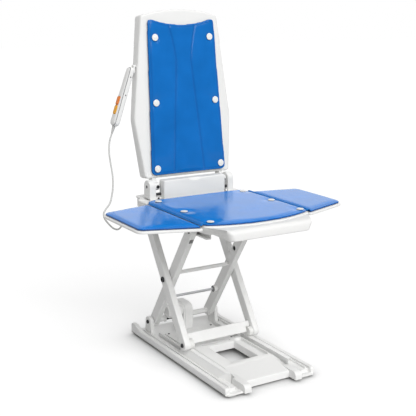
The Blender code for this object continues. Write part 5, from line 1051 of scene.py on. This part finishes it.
# How far the channel grooves are painted darker, as painted shade in the creases.
CHANNEL_SHADE = 0.30
SEAT_PAD_LOW = 0.472654
SEAT_PAD_THICK = 0.0085
SEAT_PAD_HALF = 0.1735
SEAT_PAD_FRONT_Y = -0.2445
SEAT_PAD_REAR_Y = 0.134
SEAT_STUDS = (("rear", 0.100), ("middle", -0.053), ("front", -0.196))
SEAT_STUD_X = 0.151
SEAT_STUD_Z = 0.481454
STUD_RADIUS = 0.0105
STUD_HEIGHT = 0.0020
STUD_PROFILE = ((0.0, 0.0), (0.96, 0.0), (1.0, 0.25), (0.97, 0.55), (0.86, 0.88), (0.70, 1.0), (0.64, 1.0),
                (0.60, 0.86), (0.55, 0.86), (0.51, 0.98), (0.0, 0.98))


def make_vinyl_grain():
    """The pebbled grain of a soft vinyl cover with slow changes of shade, and painted shade where its mesh
    marks it.
    """
    group, given, made = node_group(
        "vinyl_grain",
        {"Color": (0.1, 0.2, 0.6, 1.0), "Painted Shade Color": (0.0, 0.1, 0.3, 1.0), "Pebble Size": 900.0,
         "Roughness": 0.45},
        ("Color", "Roughness", "Height"))
    place = add(group, "ShaderNodeTexCoord").outputs["Object"]
    pebble = add(group, "ShaderNodeTexVoronoi", [("Vector", place), ("Scale", given["Pebble Size"])],
                 feature="SMOOTH_F1")
    patch = noise(group, place, 14.0, 5.0)
    tint = add(group, "ShaderNodeVectorMath", [(0, given["Color"])], operation="SCALE")
    group.links.new(remap(group, patch, 0.3, 0.7, 0.93, 1.07), tint.inputs["Scale"])
    # Painted shade read from the pad's mesh, mixed towards the shade colour.
    seam = add(group, "ShaderNodeAttribute", attribute_name="seam")
    mixed = add(group, "ShaderNodeMix", [(0, seam.outputs["Fac"]), (6, tint.outputs[0]),
                                         (7, given["Painted Shade Color"])], data_type="RGBA")
    rough = reckon(group, "ADD", remap(group, patch, 0.3, 0.7, -0.05, 0.05), given["Roughness"])
    group.links.new(mixed.outputs[2], made["Color"])
    group.links.new(rough, made["Roughness"])
    group.links.new(pebble.outputs["Distance"], made["Height"])
    return group


vinyl_grain = make_vinyl_grain()


def vinyl(name, colour, roughness):
    """A vinyl cover in one colour with its grain and painted shade, calmer in the light that it throws on
    others.
    """
    made = bpy.data.materials.new(name)
    made.use_nodes = True
    tree = made.node_tree
    cover = tree.nodes["Principled BSDF"]
    cover.inputs["Specular IOR Level"].default_value = 0.26
    cover.inputs["Sheen Weight"].default_value = 0.12
    cover.inputs["Sheen Roughness"].default_value = 0.40
    cover.inputs["Sheen Tint"].default_value = PAD_SHEEN
    skin = add(tree, "ShaderNodeGroup", [("Color", colour), ("Painted Shade Color", PAD_SHADE_BLUE),
                                         ("Roughness", roughness)], node_tree=vinyl_grain)
    relief = add(tree, "ShaderNodeBump", [("Height", skin.outputs["Height"]), ("Strength", 1.0),
                                          ("Distance", PEBBLE_DEPTH)])
    seen = add(tree, "ShaderNodeLightPath")
    tone = add(tree, "ShaderNodeMix", [(0, seen.outputs["Is Diffuse Ray"]), (6, skin.outputs["Color"]),
                                       (7, PAD_BOUNCE)], data_type="RGBA")
    tree.links.new(tone.outputs[2], cover.inputs["Base Color"])
    tree.links.new(skin.outputs["Roughness"], cover.inputs["Roughness"])
    tree.links.new(relief.outputs["Normal"], cover.inputs["Normal"])
    return made


pad_blue = vinyl("blue_pad_vinyl", PAD_BLUE, 0.15)
# The seat and flap pads' vinyl, its blue painted lighter for the light from above.
seat_painted_light_blue = vinyl("blue_seat_vinyl_painted_light", SEAT_PAINTED_LIGHT_BLUE, 0.15)


def distance_to(line, x, y):
    """The shortest distance from a point to a line through points."""
    spot = Vector((x, y))
    nearest = 1.0
    for start, end in zip(line, line[1:]):
        start, end = Vector(start), Vector(end)
        span = end - start
        share = min(1.0, max(0.0, (spot - start).dot(span) / span.length_squared))
        nearest = min(nearest, (start + span * share - spot).length)
    return nearest


def stud_gap(studs, x, y):
    """The distance from a point to the nearest stud."""
    return min((math.hypot(x - a, y - b) for a, b in studs), default=1.0)


def channel_gap(channels, x, y):
    """The distance from a point to the nearest channel."""
    return min((distance_to(line, x, y) for line in channels), default=1.0)


def swell(made, thickness, studs, channels):
    """Blow the pad up as cloth held at its underside, studs and channels, and cap the swelling."""
    rest = [vert.co.copy() for vert in made.data.vertices]
    held = made.vertex_groups.new(name="held")
    for index, at in enumerate(rest):
        near_stud = stud_gap(studs, at.x, at.y)
        near_line = channel_gap(channels, at.x, at.y)
        if at.z < thickness * 0.45 or near_stud < STUD_RADIUS * 1.1 or near_line < PAD_VOXEL * 0.6:
            held.add([index], 1.0, "REPLACE")
    cloth = made.modifiers.new("swell", "CLOTH")
    cloth.settings.use_pressure = True
    cloth.settings.uniform_pressure_force = PAD_PRESSURE
    cloth.settings.effector_weights.gravity = 0.0
    cloth.settings.vertex_group_mass = "held"
    cloth.collision_settings.use_collision = False
    for number in range(1, PAD_FRAMES + 1):
        scene.frame_set(number)
    apply_all(made)
    scene.frame_set(1)
    for vert, start in zip(made.data.vertices, rest):
        moved = vert.co - start
        if moved.length > PAD_SWELL:
            vert.co = start + moved.normalized() * PAD_SWELL
    made.vertex_groups.clear()


def pad(name, outline, thickness, look, studs=(), channels=()):
    """A pad in its own frame: swollen, then with its hem, channels and stud dimples pressed in, and painted
    shade on its hem, channels and lower side.
    """
    steps = edge_steps(0.0, thickness - PAD_SLACK[1], PAD_UNDER_EDGE, PAD_UPPER_EDGE)
    made = object_from(slab(drawn_in(outline, PAD_SLACK[0]), steps), name)
    remesh = made.modifiers.new("even", "REMESH")
    remesh.mode = "VOXEL"
    remesh.voxel_size = PAD_VOXEL
    apply_all(made)
    swell(made, thickness, studs, channels)
    even = made.modifiers.new("even", "SMOOTH")
    even.factor = 0.5
    even.iterations = 6
    made.modifiers.new("fine", "SUBSURF").levels = 1
    apply_all(made)
    border = [*outline, outline[0]]
    seam = made.data.attributes.new("seam", "FLOAT", "POINT")
    for vert in made.data.vertices:
        x, y, z = vert.co
        upper = min(1.0, max(0.0, (z - thickness * 0.5) / (thickness * 0.3)))
        # Painted shade: the lower side of each pad darkens towards its shade colour.
        lower_side = min(1.0, max(0.0, (thickness * 0.70 - z) / (thickness * 0.25)))
        seam.data[vert.index].value = PAD_SIDE_SHADE * lower_side
        if upper == 0.0:
            continue
        edge = distance_to(border, x, y)
        hem = math.exp(-((edge - HEM_INSET) / HEM_WIDTH) ** 2)
        line = math.exp(-(channel_gap(channels, x, y) / CHANNEL_WIDTH) ** 2)
        dimple = math.exp(-(stud_gap(studs, x, y) / DIMPLE_REACH) ** 4)
        vert.co.z -= upper * (HEM_DEPTH * hem + CHANNEL_DEPTH * line + DIMPLE_DEPTH * dimple)
        # Painted shade in the hem and channel grooves.
        groove_shade = upper * max(HEM_SHADE * hem, CHANNEL_SHADE * line)
        seam.data[vert.index].value = max(PAD_SIDE_SHADE * lower_side, groove_shade)
    made.data.materials.clear()
    made.data.materials.append(look)
    made.data.shade_smooth()
    return made


def finish_pad(made, place, body, node):
    """Put a pad in its place on its body."""
    made.data.transform(place)
    made.data.update()
    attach(made, body)
    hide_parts(node)


def stud(name, at, way, body, node):
    """A white push stud: a low domed head with a fine ring round its flat middle."""
    head = lathe([(STUD_RADIUS * across, STUD_HEIGHT * height) for across, height in STUD_PROFILE], 40)
    piece(name, head, white_plastic, body, along(at, way), [node])


seat_pad_outline = seat_outline(SEAT_PAD_HALF, SEAT_PAD_FRONT_Y, 0.015,
                                [(-SEAT_PAD_HALF, SEAT_PAD_REAR_Y, 0.010)])
seat_stud_spots = [(side * SEAT_STUD_X, y) for row, y in SEAT_STUDS for side in (-1, 1)]
seat_pad = pad("seat_pad_cover", seat_pad_outline, SEAT_PAD_THICK, seat_painted_light_blue, seat_stud_spots)
finish_pad(seat_pad, Matrix.Translation((0, 0, SEAT_PAD_LOW)), "seat", "seat_pad")
for row, y in SEAT_STUDS:
    for side, name in SIDES:
        spot = Vector((side * SEAT_STUD_X, y, SEAT_STUD_Z))
        stud(f"seat_push_stud_{row}_{name}", spot, upwards, "seat", f"seat_stud_{row}_{name}")


# Side flaps: white moulded plates that fold up on hinges along the seat's edges, each with its own
# blue pad. A narrow blue vinyl gusset welded between the pads covers each hinge.
FLAP_CORNERS = ((0.178, -0.210, 0.008), (0.346, -0.150, 0.024), (0.346, 0.078, 0.022),
                (0.178, 0.112, 0.008))
FLAP_LOW = 0.460354
FLAP_TOP = 0.468354
FLAP_EDGE = 0.0024
FLAP_RECESS_INSET = 0.011
FLAP_RECESS_DEPTH = 0.0030
FLAP_PAD_CORNERS = ((0.18125, -0.207, 0.006), (0.343, -0.1485, 0.021), (0.343, 0.075, 0.019),
                    (0.18125, 0.109, 0.006))
FLAP_PAD_LOW = 0.468654
GUSSET_INNER = 0.0038
GUSSET_OUTER = 0.0046
GUSSET_TAIL = 0.0080
GUSSET_FRONT_Y = -0.203
GUSSET_REAR_Y = 0.106
GUSSET_ROWS = 40
# Painted light: the gusset is painted a lighter blue than the back pad to lift the shade in the crease
# between the pads.
GUSSET_PAINTED_LIGHT_BLUE = (0.006, 0.180, 0.590, 1.0)

gusset_painted_light_blue = vinyl("blue_gusset_vinyl_painted_light", GUSSET_PAINTED_LIGHT_BLUE, 0.55)
gusset_turns = [math.radians(angle) for angle in range(6, 189, 14)]
gusset_section = [(GUSSET_TAIL, 0.0010)]
for radius, turns in ((GUSSET_OUTER, gusset_turns), (GUSSET_INNER, reversed(gusset_turns))):
    gusset_section += [(radius * math.cos(turn), radius * math.sin(turn)) for turn in turns]
gusset_section += [(GUSSET_INNER, -0.0004), (GUSSET_TAIL, -0.0002)]
gusset_step = (GUSSET_REAR_Y - GUSSET_FRONT_Y) / GUSSET_ROWS
flap_pad_right = pad("flap_pad_cover_right", rounded(FLAP_PAD_CORNERS), SEAT_PAD_THICK, seat_painted_light_blue)
flap_pad_left = bpy.data.objects.new("flap_pad_cover_left", flap_pad_right.data.copy())
scene.collection.objects.link(flap_pad_left)
flap_pad_left.data.transform(Matrix.Scale(-1, 4, (1, 0, 0)))
flap_pad_left.data.flip_normals()
for (side, name), flap_pad in zip(SIDES, (flap_pad_left, flap_pad_right)):
    body = "flap_" + name
    corners = [(side * x, y, radius) for x, y, radius in FLAP_CORNERS]
    flap_form = slab(rounded(corners), edge_steps(FLAP_LOW, FLAP_TOP, FLAP_EDGE, FLAP_EDGE))
    inside = drawn_in([(x, y) for x, y, radius in corners], FLAP_RECESS_INSET)
    recess_corners = [(*at, max(0.004, corner[2] - FLAP_RECESS_INSET)) for at, corner in zip(inside, corners)]
    recess_steps = edge_steps(FLAP_LOW - 0.01, FLAP_LOW + FLAP_RECESS_DEPTH, 0.0005, 0.0015)
    recess = slab(rounded(recess_corners), recess_steps)
    piece("flap_plate_" + name, flap_form, white_plastic, body, stands_for=["flap_shell_" + name],
          joins=knuckles(side, 1, KNUCKLE_NECK, FLAP_NECK_ROOT), cuts=[recess])
    finish_pad(flap_pad, Matrix.Translation((0, 0, FLAP_PAD_LOW)), body, "flap_pad_" + name)
    rows = [GUSSET_FRONT_Y + gusset_step * index for index in range(GUSSET_ROWS + 1)]
    strip = [(side * (FLAP_HINGE_X + x), FLAP_HINGE_Z + z) for x, z in gusset_section]
    gusset = object_from(stacked([[(x, y, z) for x, z in strip] for y in rows]), "flap_gusset_" + name)
    gusset.data.materials.append(gusset_painted_light_blue)
    gusset.data.shade_smooth()
    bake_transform(gusset)


# Back: a white moulded shell with a narrow waist, wings that slope back beside the pad, ribbed
# pockets behind and two lugs on the hinge pins. Its blue pad has two sewn channels and six studs.
BACK_LEAN = math.radians(-6.2)
BACK_FOOT = 0.0236
SHELL_MIDDLE = 0.024
SHELL_HALF_DEPTH = 0.020
SHELL_REAR_EDGE = 0.004
SHELL_FRONT_EDGE = 0.006
SHELL_TOP_HALF = 0.133
SHELL_TOP = 0.490
SHELL_CREST = 0.507
SHELL_WIDE_HALF = 0.171
SHELL_WIDE_AT = 0.180
SHELL_FOOT_HALF = 0.150
FRONT_BORDER = 0.011
WING_SLOPE = 0.36
WING_DROP = 0.010
BACK_PAD_AT = 0.0037
BACK_PAD_THICK = 0.0115
BACK_PAD_TOP = 0.478
BACK_PAD_TOP_HALF = 0.117
BACK_PAD_FOOT = 0.007
BACK_PAD_FOOT_HALF = 0.1335
BACK_PAD_DIP = 0.462
BACK_PAD_DIP_HALF = 0.101
CHANNEL_POINTS = ((0.045, 0.456), (0.036, 0.420), (0.030, 0.390), (0.026, 0.355), (0.029, 0.310),
                  (0.038, 0.210), (0.044, 0.130), (0.0535, 0.014))
BACK_STUDS = (("top", 0.0955, 0.4225), ("middle", 0.1045, 0.2275), ("bottom", 0.1130, 0.0280))
BACK_STUD_AT = -0.0081
LUG_X = 0.120
LUG_WIDTH = 0.014
LUG_RADIUS = 0.013
LUG_CORNERS = ((-0.013, -0.013, 0.01274), (0.013, -0.013, 0.0117), (0.031, 0.0065, 0), (0.031, 0.0356, 0),
               (0.007, 0.0356, 0), (0.007, 0.013, 0), (-0.013, 0.0104, 0.0065))
LUG_EDGE = 0.0012
LUG_EYE_RADIUS = 0.0048
LUG_SCREW_RADIUS = 0.0052
LUG_SCREW_HEIGHT = 0.0022
CELL = (0.075, 0.087)
CELL_START = (-0.111, 0.037)
CELL_FLOOR = 0.014
HOOK_SLOT = ((-0.176, 0.0163, 0.3624), (-0.1448, 0.0309, 0.3690))

back_place = Matrix.Translation((0, HINGE_Y, HINGE_Z)) @ Matrix.Rotation(BACK_LEAN, 4, "X")
shell_place = back_place @ Matrix.Translation((0, 0, BACK_FOOT)) @ from_front(SHELL_MIDDLE)
crest_arc = arc((SHELL_TOP_HALF, SHELL_TOP), (0, SHELL_CREST), (-SHELL_TOP_HALF, SHELL_TOP), 20)
crest = [(x, y, 0) for x, y in crest_arc]
shell_outline = rounded([(-SHELL_FOOT_HALF, 0, 0.012), (SHELL_FOOT_HALF, 0, 0.012),
                         (SHELL_WIDE_HALF, SHELL_WIDE_AT, 0.10), (SHELL_TOP_HALF, SHELL_TOP, 0.012), *crest,
                         (-SHELL_TOP_HALF, SHELL_TOP, 0.012), (-SHELL_WIDE_HALF, SHELL_WIDE_AT, 0.10)], 12)


def pad_half_width(height):
    """Half the back pad's width at a height."""
    share = (height - BACK_PAD_FOOT) / (BACK_PAD_TOP - BACK_PAD_FOOT)
    return BACK_PAD_FOOT_HALF + (BACK_PAD_TOP_HALF - BACK_PAD_FOOT_HALF) * share


def shell_form():
    """The back shell: straight sides, a rounded rim and wings that slope up to the flat front."""
    face, edge = SHELL_HALF_DEPTH, SHELL_FRONT_EDGE
    loops = []
    for inset, height in edge_steps(-face, 0.0, SHELL_REAR_EDGE, 0.0)[:6]:
        loops.append([(x, y, height) for x, y in drawn_in(shell_outline, inset)])
    rims = [[], [], [], [], []]
    for point, inner in zip(shell_outline, drawn_in(shell_outline, edge)):
        outer = Vector(point)
        half = pad_half_width(outer.y) + FRONT_BORDER
        crease = Vector((math.copysign(min(abs(inner.x), half), inner.x), inner.y))
        wing = (crease - inner).length
        top = face - min(WING_DROP, WING_SLOPE * wing)
        way = inner - outer
        rims[0].append((*outer, top - edge))
        rims[1].append((*(outer + way * 0.12), top - edge * 0.48))
        rims[2].append((*(outer + way * 0.46), top - edge * 0.12))
        rims[3].append((*inner, top))
        rims[4].append((*(crease if wing > 0.0005 else crease + way * 0.1), face))
    front = [(x * 0.98, 0.25 + (y - 0.25) * 0.985, face) for x, y, z in rims[4]]
    return placed(stacked([*loops, *rims, front]), shell_place)


lug_outline = rounded(LUG_CORNERS, 10)
lugs = []
shell_cuts = [placed(block(*HOOK_SLOT, 0.0004, 0.0008), back_place)]
for side in (-1, 1):
    lugs.append(board(lug_outline, LUG_WIDTH / 2, LUG_EDGE, back_place @ from_side(side * LUG_X)))
    eye_place = back_place @ along(Vector((side * LUG_X - 0.02, 0, 0)), sideways)
    shell_cuts.append(placed(bar(LUG_EYE_RADIUS, 0.04, 0.0001), eye_place))
for column in range(3):
    for row in range(5):
        x = CELL_START[0] + column * CELL[0]
        y = CELL_START[1] + row * CELL[1]
        cell = block((x, y, -SHELL_HALF_DEPTH - 0.01), (x + CELL[0] - RIB, y + CELL[1] - RIB, CELL_FLOOR),
                     0.002, 0.005)
        shell_cuts.append(placed(cell, shell_place))
piece("back_shell_moulding", shell_form(), white_plastic, "backrest", stands_for=["back_shell"], joins=lugs,
      cuts=shell_cuts)
back_forwards = back_place.to_3x3() @ forwards
for side, name in SIDES:
    lug_front = back_place @ Vector((side * GAP_MIDDLE, -LUG_RADIUS + 0.0006, -0.002))
    bolt("lug_screw_" + name, lug_front, back_forwards, LUG_SCREW_RADIUS, LUG_SCREW_HEIGHT, "backrest")

dip = arc((BACK_PAD_DIP_HALF, BACK_PAD_TOP), (0, BACK_PAD_DIP), (-BACK_PAD_DIP_HALF, BACK_PAD_TOP), 16)
back_pad_outline = rounded([(-BACK_PAD_FOOT_HALF, BACK_PAD_FOOT, 0.016),
                            (BACK_PAD_FOOT_HALF, BACK_PAD_FOOT, 0.016),
                            (BACK_PAD_TOP_HALF, BACK_PAD_TOP, 0.011), (BACK_PAD_DIP_HALF, BACK_PAD_TOP, 0),
                            *[(x, y, 0) for x, y in dip], (-BACK_PAD_DIP_HALF, BACK_PAD_TOP, 0),
                            (-BACK_PAD_TOP_HALF, BACK_PAD_TOP, 0.011)], 10)
back_channels = [[(side * x, y) for x, y in CHANNEL_POINTS] for side in (-1, 1)]
back_stud_spots = [(side * x, y) for row, x, y in BACK_STUDS for side in (-1, 1)]
back_pad = pad("back_pad_cover", back_pad_outline, BACK_PAD_THICK, pad_blue, back_stud_spots, back_channels)
back_pad_place = back_place @ Matrix.Translation((0, 0, BACK_FOOT)) @ from_front(BACK_PAD_AT)
finish_pad(back_pad, back_pad_place, "backrest", "back_pad")
for row, x, y in BACK_STUDS:
    for side, name in SIDES:
        spot = back_place @ Vector((side * x, BACK_STUD_AT, BACK_FOOT + y))
        stud(f"back_push_stud_{row}_{name}", spot, back_forwards, "backrest", f"back_stud_{row}_{name}")


# Hand control: a slim white casing in two halves with a seam along its sides, hung by a hook in the
# back's left side. It has an orange and an amber rubber key, small screws and a ribbed strain relief.
HAND_TILT = math.radians(19.3)
HAND_TIP = 0.1131
KEY_HALF_WIDTH = 0.0080
KEY_HALF_LENGTH = 0.0134
KEY_CORNER = 0.005
KEY_LOW = 0.0088
KEY_TOP = 0.0135
KEY_GAP = 0.0005
KEY_ROWS = (("up_button", "up_key", -0.01475, "orange_key", (0.78, 0.20, 0.010, 1.0)),
            ("down_button", "down_key", -0.04325, "amber_key", (0.82, 0.38, 0.008, 1.0)))
HAND_HALF_LENGTH = 0.0925
HAND_HALF_WIDTH = (0.0176, 0.0132)
HAND_HALF_DEPTH = (0.0115, 0.0096)
HAND_ENDS = (0.017, 0.013)
HAND_END_STEPS = 9
HAND_SQUARENESS = 3.2
HAND_DOME = 2.4
HAND_SEAM = 0.0060
SEAM_HALF = 0.0012
SEAL_SHRINK = 0.0009
HOOK_UP = 0.0980
HOOK_IN = -0.00575
HOOK_HALF = (0.0030, 0.0070)
HOOK_DROP = 0.020
HAND_SCREWS = (0.062, 0.006)
HAND_SCREW_RADIUS = 0.0016
HAND_SCREW_HEIGHT = 0.0022
RELIEF_START = -0.0928
RELIEF_LENGTH = 0.0200
RELIEF_RADIUS = 0.0055
RELIEF_TAPER = 0.0021

hand_up = Vector((math.sin(HAND_TILT), 0, math.cos(HAND_TILT)))
hand_centre = CORD_START + hand_up * HAND_TIP
hand_place = Matrix(((0, hand_up.x, -hand_up.z, hand_centre.x), (-1, 0, 0, hand_centre.y),
                     (0, hand_up.z, hand_up.x, hand_centre.z), (0, 0, 0, 1)))


def tapered(ends, y):
    """A size of the hand control at a place along it, from its sizes at the lower and the upper end."""
    return ends[0] + (ends[1] - ends[0]) * (y + HAND_HALF_LENGTH) / (2 * HAND_HALF_LENGTH)


def hand_form(shrink=0.0):
    """The hand control's whole form: a tapering rounded bar with domed ends, drawn in by an amount."""
    half = HAND_HALF_LENGTH
    turns = [math.pi / 2 * index / HAND_END_STEPS for index in range(HAND_END_STEPS + 1)]
    stops = [-half + HAND_ENDS[0] * (1 - math.cos(turn)) for turn in turns]
    stops += [half - HAND_ENDS[1] * (1 - math.sin(turn)) for turn in turns]
    loops = []
    for y in stops:
        end_share = max(0.0, 1 - (y + half) / HAND_ENDS[0], 1 - (half - y) / HAND_ENDS[1])
        dome = max((1 - end_share ** HAND_DOME) ** (1 / HAND_DOME), 0.25)
        wide = (tapered(HAND_HALF_WIDTH, y) - shrink) * dome
        deep = (tapered(HAND_HALF_DEPTH, y) - shrink) * dome
        loop = []
        for turn in (math.tau * index / 40 for index in range(40)):
            x, z = math.cos(turn), math.sin(turn)
            x = math.copysign(abs(x) ** (2 / HAND_SQUARENESS), x) * wide
            z = math.copysign(abs(z) ** (2 / HAND_SQUARENESS), z) * deep
            loop.append((x, y, z))
        loops.append(loop)
    return stacked(loops)


def beyond(z, side):
    """A block that takes away all of the hand control on one side of a height over its middle."""
    low, high = sorted((z, z + side * 0.05))
    return placed(block((-0.06, -0.15, low), (0.06, 0.15, high), 0.0001, 0.001), hand_place)


def key_outline(y, gap=0.0):
    """A key's outline at its place along the hand control, grown by a gap."""
    wide, long = KEY_HALF_WIDTH + gap, KEY_HALF_LENGTH + gap
    return oblong((-wide, y - long), (wide, y + long), KEY_CORNER)


key_wells = []
for node, body, y, slot, colour in KEY_ROWS:
    key_wells.append(placed(slab(key_outline(y, KEY_GAP), [(0.0, 0.0), (0.0, 0.03)]), hand_place))
piece("hand_control_front", hand_form(), white_plastic, "backrest", hand_place, ["handset_front"],
      cuts=[beyond(HAND_SEAM + SEAM_HALF, -1), *key_wells])
hook_at = hand_place @ Vector((0, HOOK_UP, HOOK_IN))
hook_thick, hook_wide = HOOK_HALF
hook_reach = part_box("handset_rear")[1].x
hook_low = hook_at - Vector((hook_thick, hook_wide, hook_thick))
hook_high = hook_at + Vector((hook_thick, hook_wide, hook_thick))
tongue = block(hook_low, (hook_reach, hook_high.y, hook_high.z), 0.0010, 0.0015)
riser = block((hook_low.x, hook_low.y, hook_at.z - HOOK_DROP), hook_high, 0.0010, 0.0015)
piece("hand_control_rear", hand_form(), white_plastic, "backrest", hand_place, ["handset_rear"],
      joins=[riser, tongue], cuts=[beyond(HAND_SEAM - SEAM_HALF, 1)])
piece("hand_control_seal", hand_form(SEAL_SHRINK), grey_nylon, "backrest", hand_place,
      cuts=[beyond(HAND_SEAM + SEAM_HALF, 1), beyond(HAND_SEAM - SEAM_HALF, -1)])
for node, body, y, slot, colour in KEY_ROWS:
    key_look = surface(slot + "_rubber", colour, 0.42, shade=0.06, grain=900.0, depth=0.00008)
    key_form = slab(key_outline(y), edge_steps(KEY_LOW, KEY_TOP, 0.0004, 0.0022))
    piece(node + "_cap", key_form, key_look, body, hand_place, [node])
hand_sideways = hand_place.to_3x3() @ sideways
for index, y in enumerate(HAND_SCREWS):
    spot = hand_place @ Vector((tapered(HAND_HALF_WIDTH, y) - 0.0006, y, -0.0010))
    bolt(f"hand_screw_{index + 1}", spot, hand_sideways, HAND_SCREW_RADIUS, HAND_SCREW_HEIGHT, "backrest")
relief_profile = [(0.0, 0.0), (RELIEF_RADIUS, 0.0)]
for rib in range(5):
    height = RELIEF_LENGTH * (0.10 + 0.17 * rib)
    radius = RELIEF_RADIUS - RELIEF_TAPER * height / RELIEF_LENGTH
    relief_profile += [(radius, height), (radius - 0.0007, height + 0.0006),
                       (radius - 0.0007, height + 0.0018), (radius - 0.0001, height + 0.0024)]
relief_profile += [(0.0031, RELIEF_LENGTH - 0.0006), (0.0028, RELIEF_LENGTH), (0.0, RELIEF_LENGTH)]
relief_top = hand_place @ Vector((0, RELIEF_START, 0))
piece("strain_relief_ribs", lathe(relief_profile), cord_sheath, "backrest", along(relief_top, -hand_up),
      ["strain_relief"])
